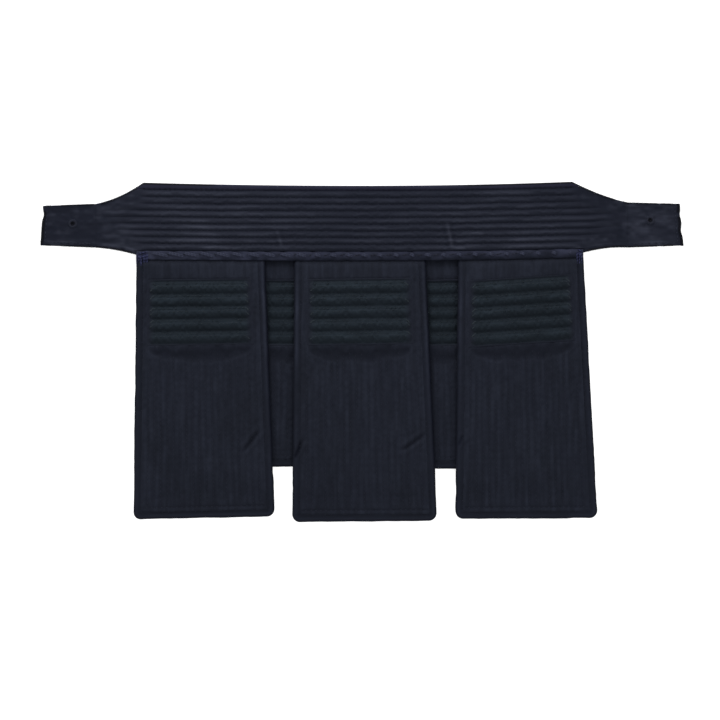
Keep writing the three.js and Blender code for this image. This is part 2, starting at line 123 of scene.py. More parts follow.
# How the belt runs out to each side: outline, strap, wear, sewing and how far each groove reaches
LEFT = dict(
    name="left", sign=-1, corner=218.4, corner_y=169.2, rise=1.0, seam_end=225.5,
    wing_top_bend=152.4, wing_top=148.2, wing_low_bend=102.9, wing_low=104.3,
    strap_top=(319.4, 146.2), strap_low=(322.0, 106.5), eyelet=(289.4, 128.3),
    notches=((137.0, 1.5),),
    wing_wear=0.38, strap_wear=0.0, hem=4.6, tacks=8,
    rib_reach=(8.0, 8.0, 10.0, 34.0, 48.0, 46.0, 36.0, 26.0, 12.0, 8.0),
)
RIGHT = dict(
    name="right", sign=1, corner=210.2, corner_y=170.1, rise=3.0, seam_end=221.5,
    wing_top_bend=155.4, wing_top=149.5, wing_low_bend=105.4, wing_low=104.4,
    strap_top=(318.3, 148.2), strap_low=(322.0, 106.4), eyelet=(288.6, 131.8),
    notches=((137.0, 0.9), (121.5, 1.3)),
    wing_wear=0.05, strap_wear=0.5, hem=5.6, tacks=4,
    rib_reach=(8.0, 8.0, 16.0, 40.0, 54.0, 54.0, 50.0, 40.0, 20.0, 8.0),
)

# Flaps: edges at seam and hem, panel's place and tilt in degrees, its grooves' wear, and the lift's ends
FLAPS = [
    dict(name="inner_left", make=INNER, seam=(-138.4, -26.4), hem=(-139.5, -21.5), hem_y=(-114.4, -114.8),
         panel_x=-82.2, tilt=0.3, drop=1.5, bare=0.15),
    dict(name="inner_right", make=INNER, seam=(24.1, 136.1), hem=(24.6, 142.6), hem_y=(-116.8, -116.4),
         panel_x=80.6, tilt=0.6, drop=2.0, bare=0.0),
    dict(name="outer_left", make=OUTER, seam=(-225.1, -97.4), hem=(-228.0, -87.6), hem_y=(-167.2, -164.4),
         panel_x=-162.2, tilt=0.8, drop=1.5, bare=0.3, lift=(0.0, 0.6)),
    dict(name="outer_centre", make=OUTER, seam=(-66.9, 63.1), hem=(-69.0, 74.7), hem_y=(-169.7, -168.8),
         panel_x=-2.2, tilt=0.7, drop=0.6, bare=0.42, lift=(-1.0, 0.0)),
    dict(name="outer_right", make=OUTER, seam=(96.6, 220.9), hem=(94.0, 235.3), hem_y=(-166.8, -166.0),
         panel_x=159.4, tilt=2.6, drop=0.8, bare=0.22, lift=(1.0, 0.4)),
]

# Creases pressed into the flaps' faces and folds raised on the belt: ends, half width and depth of each
CREASES = [
    dict(on="outer_left", start=(-103.1, -79.2), end=(-117.9, -99.2), wide=1.8, deep=1.8),
    dict(on="outer_centre", start=(62.1, -83.2), end=(40.1, -98.2), wide=1.8, deep=1.8),
    dict(on="outer_centre", start=(-59.1, -88.2), end=(-67.0, -106.7), wide=1.5, deep=1.8),
    dict(on="outer_right", start=(100.6, -84.2), end=(96.1, -94.2), wide=1.5, deep=1.2),
    dict(on="belt", start=(85.1, 128.8), end=(90.1, 104.8), wide=1.6, deep=-0.8),
    dict(on="belt", start=(-84.9, 120.8), end=(-79.9, 104.8), wide=1.6, deep=-0.5),
]
CREASE_LIP = 0.35


def mix(a, b, t):
    """From a to b as t goes from 0 to 1."""
    return a + (b - a) * t


def smoothstep(value, low, high):
    """0 below low, 1 above high, and an even S curve between."""
    t = np.clip((value - low) / (high - low), 0, 1)
    return t * t * (3 - 2 * t)


def between(value, start, full, fading, end):
    """0 before start and after end, 1 from full to fading, and S curves on the way."""
    return smoothstep(value, start, full) * (1 - smoothstep(value, fading, end))


def bell(value, middle, half):
    """1 at the middle and less on both sides: a bell curve, down to 0.37 at half away from the middle."""
    return np.exp(-(((value - middle) / half) ** 2))


def rounded(distance, radius):
    """A quarter circle's height at a distance in from its edge: 0 at the edge, 1 from one radius on."""
    t = 1 - np.clip(distance / radius, 0, 1)
    return np.sqrt(1 - t * t)


def gather(*values):
    """Coordinates of any shapes that fit together, as one array of points."""
    return np.stack(np.broadcast_arrays(*values), -1)


def noise(u, v, seed):
    """Smooth noise from -1 to 1, one unit to a bump: a table of random values blended between by S curves."""
    size = 64
    table = np.random.default_rng(seed).uniform(-1, 1, (size, size))
    u, v = np.broadcast_arrays(np.asarray(u, float), np.asarray(v, float))
    i, j = np.floor(u).astype(int), np.floor(v).astype(int)
    s, t = smoothstep(u - i, 0, 1), smoothstep(v - j, 0, 1)
    i, j, i_next, j_next = i % size, j % size, (i + 1) % size, (j + 1) % size
    return mix(mix(table[i, j], table[i_next, j], s), mix(table[i, j_next], table[i_next, j_next], s), t)


def waver(u, seed):
    """Smooth noise along one line."""
    return noise(u, 0.5, seed)


def bumps(x, y, *sizes):
    """Noise of several sizes added up: for each its height, its lengths along x and y, and its seed."""
    return sum(height * noise(x / along, y / across, seed) for height, along, across, seed in sizes)


def cubic(t):
    """The four weights of a Catmull-Rom cubic at t between its two middle samples."""
    return gather(-t + 2 * t**2 - t**3, 2 - 5 * t**2 + 3 * t**3, t + 4 * t**2 - 3 * t**3, -t**2 + t**3) / 2


def sample(grid, row, column):
    """A grid of vectors read at fractional rows and columns by cubics both ways, its edge held outside."""
    rows, columns = grid.shape[:2]
    row, column = np.broadcast_arrays(np.clip(row, 0, rows - 1), np.clip(column, 0, columns - 1))
    i = np.minimum(np.floor(row).astype(int), rows - 2)
    j = np.minimum(np.floor(column).astype(int), columns - 2)
    near = np.arange(-1, 3)
    a = np.clip(i[..., None] + near, 0, rows - 1)
    b = np.clip(j[..., None] + near, 0, columns - 1)
    weights = cubic(row - i)[..., :, None] * cubic(column - j)[..., None, :]
    return np.einsum("...ab,...abk->...k", weights, grid[a[..., :, None], b[..., None, :]])


def side_value(x, key):
    """A value of the belt's left or right side, for each x."""
    return np.where(np.asarray(x) < 0, LEFT[key], RIGHT[key])


def on_side(side, points):
    """Points given for the belt's right half, moved to the side they are meant for."""
    return np.asarray(points) * [side["sign"], 1]


def rise(x):
    """How far ribs and seam rise at x above the middle, a parabola to each corner."""
    return side_value(x, "rise") * (x / side_value(x, "corner")) ** 2


def crease_depth(on, x, y):
    """Depth of one piece's creases: a valley along each line, fading at both ends, with a lip each side."""
    depth = np.zeros(np.broadcast(x, y).shape)
    for crease in (row for row in CREASES if row["on"] == on):
        start, end, wide = np.array(crease["start"]), np.array(crease["end"]), crease["wide"]
        length = np.linalg.norm(end - start)
        along_x, along_y = (end - start) / length
        along = ((x - start[0]) * along_x + (y - start[1]) * along_y) / length
        beside = (x - start[0]) * -along_y + (y - start[1]) * along_x
        lip = bell(np.abs(beside), 2.4 * wide, 1.2 * wide)
        fade = between(along, -0.15, 0.25, 0.75, 1.15)
        depth += crease["deep"] * fade * (bell(beside, 0, wide) - CREASE_LIP * lip)
    return depth


# Making meshes


def cells(grids):
    """The corners of every cell, in turn round it, of an array of grids by rows by columns."""
    above, below = grids[:, :-1], grids[:, 1:]
    return np.stack([above[:, :, :-1], above[:, :, 1:], below[:, :, 1:], below[:, :, :-1]], 3)


def place(name, mesh, smooth, material):
    """Links a mesh, its first faces smooth and the rest flat, as a piece that rides on the one body."""
    mesh.polygons.foreach_set("use_smooth", np.arange(len(mesh.polygons)) < smooth)
    mesh.materials.append(material)
    piece = bpy.data.objects.new(name, mesh)
    bpy.context.scene.collection.objects.link(piece)
    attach(piece, "root")
    return piece


def lengths(points, axis):
    """Lengths run along an axis of points, from 0 and on past the last point to the first."""
    step = np.linalg.norm(np.roll(points, -1, axis) - points, axis=-1)
    return np.concatenate([np.zeros_like(step.take([0], axis)), np.cumsum(step, axis)], axis)


def loft(name, rings, material, crest=None, inside=None, joined=False):
    """Closed surfaces through rings of points, an array of surfaces by stations by ring places by three.

    Four-sided faces join each ring to the next, and flat faces close both ends unless the last ring joins the
    first. The cloth map holds lengths along and around in metres, crest is each point's wear and painted
    light and shade from 0 to 1, and inside is 0 at the piece's border.
    """
    rings = rings if rings.ndim == 4 else rings[None]
    many, stations, around, _ = rings.shape
    number = np.arange(many * stations * around).reshape(many, stations, around)
    ends = np.concatenate([number[:, 0, ::-1], number[:, -1]])
    u, v = lengths(rings.mean(2), 1), lengths(rings, 2)
    if joined:
        ends = ends[:0]
        number, v = (np.concatenate([grid, grid[:, :1]], 1) for grid in (number, v))
    quads = cells(np.concatenate([number, number[:, :, :1]], 2)).reshape(-1, 4)
    loops = cells(gather(u[:, :v.shape[1], None], v)).reshape(-1, 4, 2)

    points = rings.reshape(-1, 3)
    fans = gather(ends[:, :1], ends[:, 1:-1], ends[:, 2:]).reshape(-1, 3)
    triangles = np.concatenate([quads[:, :3], quads[:, [0, 2, 3]], fans])
    if np.linalg.det(points[triangles]).sum() < 0:
        quads, ends, loops = quads[:, ::-1], ends[:, ::-1], loops[:, ::-1]
    mesh = bpy.data.meshes.new(name)
    mesh.from_pydata((points * MM).tolist(), [], quads.tolist() + ends.tolist())
    cloth_map = mesh.uv_layers.new(name="cloth")
    chart = np.concatenate([loops.reshape(-1, 2), points[ends.ravel()][:, :2]])
    cloth_map.data.foreach_set("uv", (chart * MM).ravel())
    for key, values in (("crest", crest), ("inside", inside)):
        if values is not None:
            layer = mesh.attributes.new(key, "FLOAT", "POINT")
            layer.data.foreach_set("value", values.ravel().astype(np.float32))
    return place(name, mesh, len(quads), material)


def with_back(values, back, value):
    """The values of a face's points, followed by one value for all the points of its back."""
    return np.concatenate([values, np.full(back.shape[:2], value)], 1)


def threads(name, paths, material, radius, sides=5, ends=0.5):
    """Round threads, each a circle carried along a path and thinner at its two ends.

    paths is an array of threads by points by three. The circle stands square to the path, one axis level.
    """
    tangent = np.gradient(paths, axis=1)
    tangent /= np.linalg.norm(tangent, axis=2, keepdims=True)
    level = np.cross(tangent, [0.0, 0.0, 1.0])
    level /= np.maximum(np.linalg.norm(level, axis=2, keepdims=True), TINY)
    lift = np.cross(level, tangent)
    turn = np.linspace(0, 2 * np.pi, sides, endpoint=False)
    share = np.linspace(0, 1, paths.shape[1])
    thick = radius * mix(ends, 1.0, np.sin(np.pi * share) ** 0.5)
    around = np.cos(turn)[:, None] * level[:, :, None] + np.sin(turn)[:, None] * lift[:, :, None]
    loft(name, paths[:, :, None] + thick[None, :, None, None] * around, material)


def arcs(start, end, height, sunk=0.25, points=5):
    """Stitches as arches from start to end: straight from above, rising by height, with both ends sunk in."""
    share = np.linspace(0, 1, points)[None, :, None]
    arch = np.sin(np.pi * share[..., 0])
    paths = mix(start[:, None], end[:, None], share)
    paths[..., 2] += height * arch - sunk * (1 - arch)
    return paths


# Cloth that is sewn down and filled, at ten times its size, in which the simulation is steady
SIM_SCALE = 10
SIM_FRAMES = 20
SIM_CLOTH = dict(
    vertex_group_mass="sewn", quality=5, mass=0.3, tension_stiffness=15, compression_stiffness=15,
    shear_stiffness=5, bending_stiffness=0.5, use_pressure=True)


def settle(rest, sewn, pressure, spare, cap):
    """How far a sheet moves that is sewn down at some points and pressed out by its filling.

    rest is a grid of points and sewn marks those that hold. Blender's cloth runs on a larger copy, with
    gravity off and a share of spare cloth, and no point may move further than cap.
    """
    points = rest.reshape(-1, 3)
    quads = cells(np.arange(len(points)).reshape(1, *sewn.shape)).reshape(-1, 4)
    mesh = bpy.data.meshes.new("settling")
    mesh.from_pydata((points * MM * SIM_SCALE).tolist(), [], quads.tolist())
    if mesh.polygons[0].normal.z < 0:
        mesh.flip_normals()
    sheet = bpy.data.objects.new("settling", mesh)
    scene = bpy.context.scene
    scene.collection.objects.link(sheet)
    sheet.vertex_groups.new(name="sewn").add(np.flatnonzero(sewn).tolist(), 1.0, "REPLACE")
    cloth = sheet.modifiers.new("cloth", "CLOTH")
    for key, value in dict(SIM_CLOTH, uniform_pressure_force=pressure, shrink_min=-spare).items():
        setattr(cloth.settings, key, value)
    cloth.settings.effector_weights.gravity = 0
    cloth.collision_settings.use_collision = False
    cloth.point_cache.frame_end = SIM_FRAMES
    for step in range(1, SIM_FRAMES + 1):
        scene.frame_set(step)
    settled = sheet.evaluated_get(bpy.context.evaluated_depsgraph_get()).to_mesh()
    moved = np.empty(points.size)
    settled.vertices.foreach_get("co", moved)
    sheet.to_mesh_clear()
    bpy.data.objects.remove(sheet)
    bpy.data.meshes.remove(mesh)
    scene.frame_set(1)
    shift = moved.reshape(-1, 3) / (MM * SIM_SCALE) - points
    far = np.linalg.norm(shift, axis=1, keepdims=True)
    return (shift * np.minimum(1, cap / np.maximum(far, TINY))).reshape(rest.shape)


# Materials


WEAVE_PITCH = 0.0011
WEAVE_RELIEF = 0.4
TWIST_PITCH = 0.0016
TWIST_RELIEF = 0.6
RELIEF_HEIGHT = 0.0003
WAVE_RADIANS = 20


def add_node(tree, kind, settings=None, **links):
    """Adds a shader node. settings are its own values, or its sockets' where the name is a socket's."""
    node = tree.nodes.new(kind)
    for key, value in (settings or {}).items():
        if key in node.inputs:
            node.inputs[key].default_value = value
        else:
            setattr(node, key, value)
    for key, source in links.items():
        tree.links.new(source, node.inputs[key.replace("_", " ")])
    return node


def blend(tree, share, low, high):
    """A colour between two by a share from 0 to 1. Each colour is a tint or another node's output."""
    node = add_node(tree, "ShaderNodeMix", {"data_type": "RGBA"}, Factor=share)
    for socket, colour in zip(node.inputs[6:8], (low, high)):
        if isinstance(colour, tuple):
            socket.default_value = colour
        else:
            tree.links.new(colour, socket)
    return node.outputs[2]


def reckon(tree, operation, first, second):
    """The sum or the product of two outputs."""
    node = add_node(tree, "ShaderNodeMath", {"operation": operation})
    tree.links.new(first, node.inputs[0])
    tree.links.new(second, node.inputs[1])
    return node.outputs[0]


def spread(tree, value, source=(0.0, 1.0), target=(0.0, 1.0)):
    """A value moved from one range to another, and held within it."""
    ends = {"From Min": source[0], "From Max": source[1], "To Min": target[0], "To Max": target[1]}
    return add_node(tree, "ShaderNodeMapRange", ends, Value=value).outputs["Result"]


def speckle(tree, where, scale, detail):
    """Noise of so many bumps per unit."""
    node = add_node(tree, "ShaderNodeTexNoise", {"Scale": scale, "Detail": detail}, Vector=where)
    return node.outputs["Fac"]


def bands(tree, direction, pitch, distortion=0.0):
    """Waves across the cloth map, one pitch apart."""
    cloth_map = add_node(tree, "ShaderNodeUVMap", {"uv_map": "cloth"}).outputs["UV"]
    wave = {"wave_type": "BANDS", "bands_direction": direction, "Distortion": distortion}
    wave["Scale"] = 2 * np.pi / (WAVE_RADIANS * pitch)
    return add_node(tree, "ShaderNodeTexWave", wave, Vector=cloth_map).outputs["Fac"]


def point_value(tree, key):
    """A value that the mesh holds for each of its points."""
    return add_node(tree, "ShaderNodeAttribute", {"attribute_name": key}).outputs["Fac"]


def finish(tree, look, height, relief, **links):
    """The shader, with its bumps, and the material's output."""
    bump = add_node(tree, "ShaderNodeBump", {"Strength": relief, "Distance": RELIEF_HEIGHT}, Height=height)
    shader = add_node(tree, "ShaderNodeBsdfPrincipled", look, Normal=bump.outputs["Normal"], **links)
    add_node(tree, "ShaderNodeOutputMaterial", Surface=shader.outputs["BSDF"])


def new_material(name):
    """A material with an empty node tree."""
    material = bpy.data.materials.new(name)
    material.use_nodes = True
    material.node_tree.nodes.clear()
    return material


def linear(red, green, blue):
    """An sRGB colour of 0 to 255 as the linear one that shaders take."""
    c = np.array([red, green, blue]) / 255
    c = np.where(c <= 0.04045, c / 12.92, ((c + 0.055) / 1.055) ** 2.4)
    return (*c.tolist(), 1.0)


def cotton(name, dye, faded, worn_and_lit, wear_and_light=0.6, streaks=(40.0, 40.0), even=0.2, rim=None):
    """Dyed cotton: two tints in soft patches, worn lighter on raised places and given painted light and
    shade, with a plain weave and fuzz.

    The weave is the product of two waves across the cloth map. The patches and the uneven wear, which on the
    belt and straps also paints streaks of sheen, are noise on the object, streaks are its bumps per metre
    along x and y, and a smaller even makes the wear and the painted sheen patchier.
    Where there is a rim tint, the points' inside value blends from it, at 0, to the cloth, at 1.
    """
    material = new_material(name)
    tree = material.node_tree
    where = add_node(tree, "ShaderNodeTexCoord").outputs["Object"]
    stretch = {"Scale": (*streaks, 40.0)}
    stretched = add_node(tree, "ShaderNodeMapping", stretch, Vector=where).outputs["Vector"]
    uneven = speckle(tree, stretched, scale=1.0, detail=3.0)
    patches = spread(tree, speckle(tree, where, scale=24.0, detail=3.0), source=(0.35, 0.65))
    dyed = blend(tree, patches, linear(*dye), linear(*faded))
    # The crest value holds wear together with painted light and shade; on the belt and straps the streaky
    # noise is painted sheen
    rubbing_and_sheen = spread(tree, uneven, source=(0.5 - even, 0.5 + even), target=(0.25 * wear_and_light, wear_and_light))
    wear_and_light_share = reckon(tree, "MULTIPLY", point_value(tree, "crest"), rubbing_and_sheen)
    tint = blend(tree, wear_and_light_share, dyed, linear(*worn_and_lit))
    if rim is not None:
        tint = blend(tree, point_value(tree, "inside"), linear(*rim), tint)
    woven = reckon(tree, "MULTIPLY", bands(tree, "X", WEAVE_PITCH), bands(tree, "Y", WEAVE_PITCH))
    fuzzy = reckon(tree, "ADD", woven, speckle(tree, where, scale=1400.0, detail=2.0))
    roughness = spread(tree, uneven, target=(0.7, 0.95))
    sheen = {"Sheen Weight": 0.04, "Sheen Roughness": 0.5, "Sheen Tint": linear(*worn_and_lit)}
    look = {"Specular IOR Level": 0.08, **sheen}
    finish(tree, look, fuzzy, WEAVE_RELIEF, Base_Color=tint, Roughness=roughness)
    return material


def yarn(name, dye, pale):
    """Twisted cotton thread: bands slanting round it, from a dark to a paler tint."""
    material = new_material(name)
    tree = material.node_tree
    twist = bands(tree, "DIAGONAL", TWIST_PITCH, distortion=0.6)
    tint = blend(tree, twist, linear(*dye), linear(*pale))
    look = {"Roughness": 0.7, "Specular IOR Level": 0.12, "Sheen Weight": 0.05, "Sheen Tint": linear(*pale)}
    finish(tree, look, twist, TWIST_RELIEF, Base_Color=tint)
    return material


BELT_TINTS = ((25, 28, 39), (28, 31, 42), (61, 64, 77))
LOOM = dict(wear_and_light=1.0, streaks=(28.0, 140.0), even=0.11)
BELT_CLOTH = cotton("belt_cloth", *BELT_TINTS, **LOOM)
BINDING_CLOTH = cotton("binding_cloth", (28, 29, 43), (33, 33, 48), (46, 47, 63), rim=(11, 11, 17))
TAPE_CLOTH = cotton(
    "tape_cloth", (22, 25, 35), (25, 28, 40), (54, 57, 75), wear_and_light=1.0, streaks=(70.0, 120.0))
STRAP_CLOTH = cotton("strap_cloth", *BELT_TINTS, **LOOM)
FLAP_CLOTH = cotton(
    "flap_cloth", (23, 26, 35), (25, 28, 38), (42, 46, 58), wear_and_light=0.9, streaks=(270.0, 22.0), even=0.13)
# The edging's rim tint is painted shade along its outer border
EDGING_CLOTH = cotton(
    "edging_cloth", (23, 26, 35), (25, 28, 38), (48, 52, 66), wear_and_light=0.9, rim=(14, 17, 29))
PANEL_CLOTH = cotton(
    "panel_cloth", (22, 28, 34), (24, 30, 37), (37, 45, 53), wear_and_light=1.0, streaks=(45.0, 150.0),
    rim=(29, 32, 42))
QUILT_THREAD = yarn("quilt_thread", (22, 24, 33), (38, 41, 54))
HEM_THREAD = yarn("hem_thread", (34, 36, 48), (50, 53, 66))
DARK_THREAD = yarn("dark_thread", (6, 8, 13), (14, 16, 25))
PANEL_THREAD = yarn("panel_thread", (30, 36, 42), (43, 51, 57))
LACING_YARN = yarn("lacing_yarn", (42, 45, 60), (53, 57, 75))
TACK_THREAD = yarn("tack_thread", (19, 22, 46), (54, 58, 88))


# Belt and its ribs


def wing(x, start, start_y, bend_y, end_y):
    """The y of a wing's edge: a curve from the belt's corner to the strap, bent towards the middle height."""
    t = np.clip((np.abs(x) - start) / (WING_END_X - start), 0, 1)
    return (1 - t) ** 2 * start_y + 2 * t * (1 - t) * bend_y + t**2 * end_y


def outline_top(x):
    """The upper outline: sagging between the corners, then the wings' slopes."""
    corner, corner_y = side_value(x, "corner"), side_value(x, "corner_y")
    sag = BELT_TOP_Y + (corner_y - BELT_TOP_Y) * (x / corner) ** 2
    slope = wing(x, corner, corner_y, side_value(x, "wing_top_bend"), side_value(x, "wing_top"))
    return np.where(np.abs(x) < corner, sag, slope)


def belt_top(x):
    """The belt's own upper edge, tucked into the binding between the corners."""
    return np.minimum(RIB_TOP_Y + rise(x) + BINDING_TUCK, outline_top(x))


def belt_low(x):
    """The belt's lower edge: the seam, then the wings' undersides."""
    seam_end = side_value(x, "seam_end")
    end_y = BELT_SEAM_Y + rise(np.sign(x) * seam_end)
    slope = wing(x, seam_end, end_y, side_value(x, "wing_low_bend"), side_value(x, "wing_low"))
    return np.where(np.abs(x) < seam_end, BELT_SEAM_Y + rise(x), slope)


def ribs_across(x, y):
    """How many ribs lie above a point: 0 at the top groove, one more at each below, wandering a little."""
    wander = 0.05 * waver(x / 45, 11) + 0.03 * noise(x / 18, y / RIB_PITCH, 12)
    return (RIB_TOP_Y - y + rise(x)) / RIB_PITCH + wander * smoothstep(y, RIB_LOW_Y, RIB_LOW_Y + RIB_PITCH)


def belt_roll(across):
    """A rib's rounded height from 0 in its grooves to 1 at its crest, a little fuller than a sine."""
    return np.abs(np.sin(np.pi * np.clip(across, 0, RIB_COUNT))) ** 0.9


def rib_fade(x, across):
    """How much of a groove is left at x: all of it between the corners, then less, each as far as it reaches.

    Grooves that reach beyond 30 mm also begin to fade further out.
    """
    corner = side_value(x, "corner")
    grooves = np.arange(RIB_COUNT + 1)
    left, right = (np.interp(across, grooves, side["rib_reach"]) for side in (LEFT, RIGHT))
    reach = np.where(x < 0, left, right)
    start = corner - 6 + 0.8 * np.maximum(reach - 30, 0)
    return 1 - smoothstep(np.abs(x), start, corner + reach)


def wrinkles(x, y):
    """Height of the wrinkles in the loose wings and straps: long ones along x, and small puckers."""
    return bumps(x, y, (0.6, 15, 4.2, 14), (0.3, 7, 8, 15), (0.25, 4.2, 3.0, 18))


def loose_wear_and_highlight(x, y, low):
    """Wear of the wings and straps in soft blotches, and a painted highlight like a lit fold a little above
    the lower edge.
    """
    strap_share = smoothstep(np.abs(x), WING_END_X - 15, WING_END_X + 10)
    even = mix(side_value(x, "wing_wear"), side_value(x, "strap_wear"), strap_share)
    blotches = even + bumps(x, y, (0.3, 12, 4, 16), (0.3, 4.6, 3.2, 19))
    # Painted highlight: a pale line a little above the lower edge, like a fold catching the light
    fold_highlight = bell(y - low, 4.6, 0.8) * (0.6 + 0.5 * waver(x / 9, 17))
    return 0.66 * np.clip(blotches + 0.6 * fold_highlight, 0, 1)


def rib_wear_and_sheen(x, y, across):
    """Wear and painted sheen of the ribs' crests: less in the middle, at the right end and on the top ribs,
    and narrower on the lower ribs.

    Two patches of painted sheen lie low on the belt, the right one from a fold on, and the folds get a
    painted highlight with painted shade along their sides.
    """
    # Painted sheen: two paler patches low on the belt, less sheen on the top ribs, and painted highlights on
    # the folds
    left_patch = 0.55 * bell(x, -142, 34) * smoothstep(across, 4, 5)
    right_patch = 0.4 * bell(x, 120, 48) * smoothstep(x, 86, 96) * smoothstep(across, 5, 6.5)
    along = 0.36 + 0.17 * smoothstep(np.abs(x - 5), 40, 110) - 0.17 * smoothstep(x, 140, 210)
    bright = along * mix(0.75, 1.0, smoothstep(across, 1, 5)) + left_patch + right_patch
    narrowing = mix(1.8, 3.0, smoothstep(across, 3, 5.5))
    return np.clip(belt_roll(across) ** narrowing * bright - 0.8 * crease_depth("belt", x, y), 0, 1)


def belt_face(x, y):
    """Height of the belt's face: its thickness less the grooves, and wrinkles where the wings are loose."""
    corner, seam_end, out = side_value(x, "corner"), side_value(x, "seam_end"), np.abs(x)
    thick = mix(BELT_THICK, WING_THICK, smoothstep(out, corner, WING_END_X))
    thick = mix(thick, STRAP_FACE, smoothstep(out, WING_END_X - 18, WING_END_X))
    across = ribs_across(x, y)
    plump = 1 + 0.12 * noise(x / 26, np.floor(across), 13)
    depth = RIB_DEPTH * rib_fade(x, across)
    face = thick - depth + depth * plump * belt_roll(across)
    margin = mix(SEAM_TOP_Z, thick, smoothstep(out, seam_end - 3, seam_end + 3))
    face = mix(face, margin, smoothstep(across, RIB_COUNT, RIB_COUNT + 0.05))
    loose = smoothstep(out, corner - 4, corner + 24)
    return face - crease_depth("belt", x, y) * (1 - loose) + wrinkles(x, y) * loose


RIB_ROWS = 4
BELT_SIM_X = np.linspace(-212.0, 203.0, 170)
BELT_STATIONS = 360
BELT_FACE_POINTS = 130
BELT_EDGE_LEVEL = 0.45


def settled_belt():
    """The ribs' cloth sewn down along the grooves: a grid with four rows to a rib, held at every groove."""
    x = BELT_SIM_X[None]
    across = np.linspace(0, RIB_COUNT, RIB_COUNT * RIB_ROWS + 1)[:, None]
    z = BELT_THICK - RIB_DEPTH + RIB_DEPTH * belt_roll(across)
    rest = gather(x, RIB_TOP_Y + rise(x) - across * RIB_PITCH, z)
    sewn = np.zeros(rest.shape[:2], bool)
    sewn[::RIB_ROWS] = True
    sewn[:, [0, -1]] = True
    return settle(rest, sewn, pressure=1.5, spare=0.015, cap=0.55)


def belt_pad():
    """The ribbed belt: rings round it at stations along x, many points on the face and few on the back."""
    moved = settled_belt()
    x = np.linspace(-WING_END_X, WING_END_X, BELT_STATIONS)[:, None]
    rim = RIM_STEPS / BELT_HEIGHT
    inner = np.linspace(rim[-1], 1 - rim[-1], BELT_FACE_POINTS)[1:-1]
    share = np.concatenate([rim, inner, 1 - rim[::-1]])[None]
    back_share = np.concatenate([1 - rim[1:], [0.75, 0.5, 0.25], rim[:0:-1]])[None]
    low, high = belt_low(x), belt_top(x)
    y, back_y = mix(low, high, share), mix(low, high, back_share)
    over, under = (rounded(np.minimum(s, 1 - s) * (high - low), BELT_RIM) for s in (share, back_share))
    face = belt_face(x, y)
    middle = BELT_EDGE_LEVEL * face[:, [0, -1]].mean(1, keepdims=True)
    across = ribs_across(x, y)
    column = (x - BELT_SIM_X[0]) / (BELT_SIM_X[-1] - BELT_SIM_X[0]) * (len(BELT_SIM_X) - 1)
    top = gather(x, y, mix(middle, face, over))
    top += sample(moved, across * RIB_ROWS, column) * over[..., None]
    back = gather(x, back_y, middle * (1 - under))
    worn_and_lit = mix(loose_wear_and_highlight(x, y, low), rib_wear_and_sheen(x, y, across), rib_fade(x, across))
    belt = loft(
        "belt_pad", np.concatenate([top, back], 1), BELT_CLOTH,
        with_back(worn_and_lit, back, BACK_WEAR))
    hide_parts("waist_belt")


def over_edge(edge, inward, face, rim, reach, seed):
    """Close stitches over an edge, from the face to half its height, some of them left out.

    The edge is round over its rim's width.
    """
    inset = reach * np.array([1.0, 0.8, 0.6, 0.4, 0.25, 0.12, 0.0])
    x, y = (edge[:, n, None] + inset * inward[n] for n in range(2))
    height = face(x, y)
    paths = gather(x, y, mix(0.48 * height, height, rounded(inset, rim)) + 0.2)
    return paths[waver(np.arange(len(edge)) / 4.0, seed) > -0.35]


def wing_shade_stitches():
    """Dark stitches over the wings' upper and lower edges, put there as painted shade along them."""
    paths, pitch = [], 1.4
    for side in (LEFT, RIGHT):
        edges = ((outline_top, -1, side["corner"] + 7), (belt_low, 1, side["seam_end"] + 5))
        for edge, inward, start in edges:
            x = side["sign"] * np.arange(start, WING_END_X, pitch)
            paths.append(over_edge(
                gather(x, edge(x)), (0, inward), belt_face, BELT_RIM, reach=2.0, seed=42 + inward))
    threads("wing_shade_stitches", np.concatenate(paths), DARK_THREAD, radius=0.5, ends=0.8)


def rib_stitches():
    """Running stitches along the belt's grooves."""
    pitch, length, steps = 5.2, 3.0, np.arange(-40, 39)
    grids = np.meshgrid(np.arange(1, RIB_COUNT), steps, indexing="ij")
    groove, step = (grid.ravel() for grid in grids)
    x = step * pitch + 1.3 * noise(groove * 3.7, step * 1.3, 41)
    y = RIB_TOP_Y + rise(x) - groove * RIB_PITCH
    start = gather(x, y, belt_face(x, y) + 0.1)
    end = gather(x + length, y + rise(x + length) - rise(x), start[:, 2])
    paths = arcs(start, end, height=0.2, sunk=0.2, points=4)
    threads("rib_stitches", paths, QUILT_THREAD, radius=0.2, sides=4)


# Binding and joining tape


def superellipse(count, power):
    """Points round a rounded square, as shares of half its width and half its height from its middle."""
    turn = np.linspace(0, 2 * np.pi, count, endpoint=False)
    return [(np.sign(value) * np.abs(value) ** power)[None] for value in (np.cos(turn), np.sin(turn))]


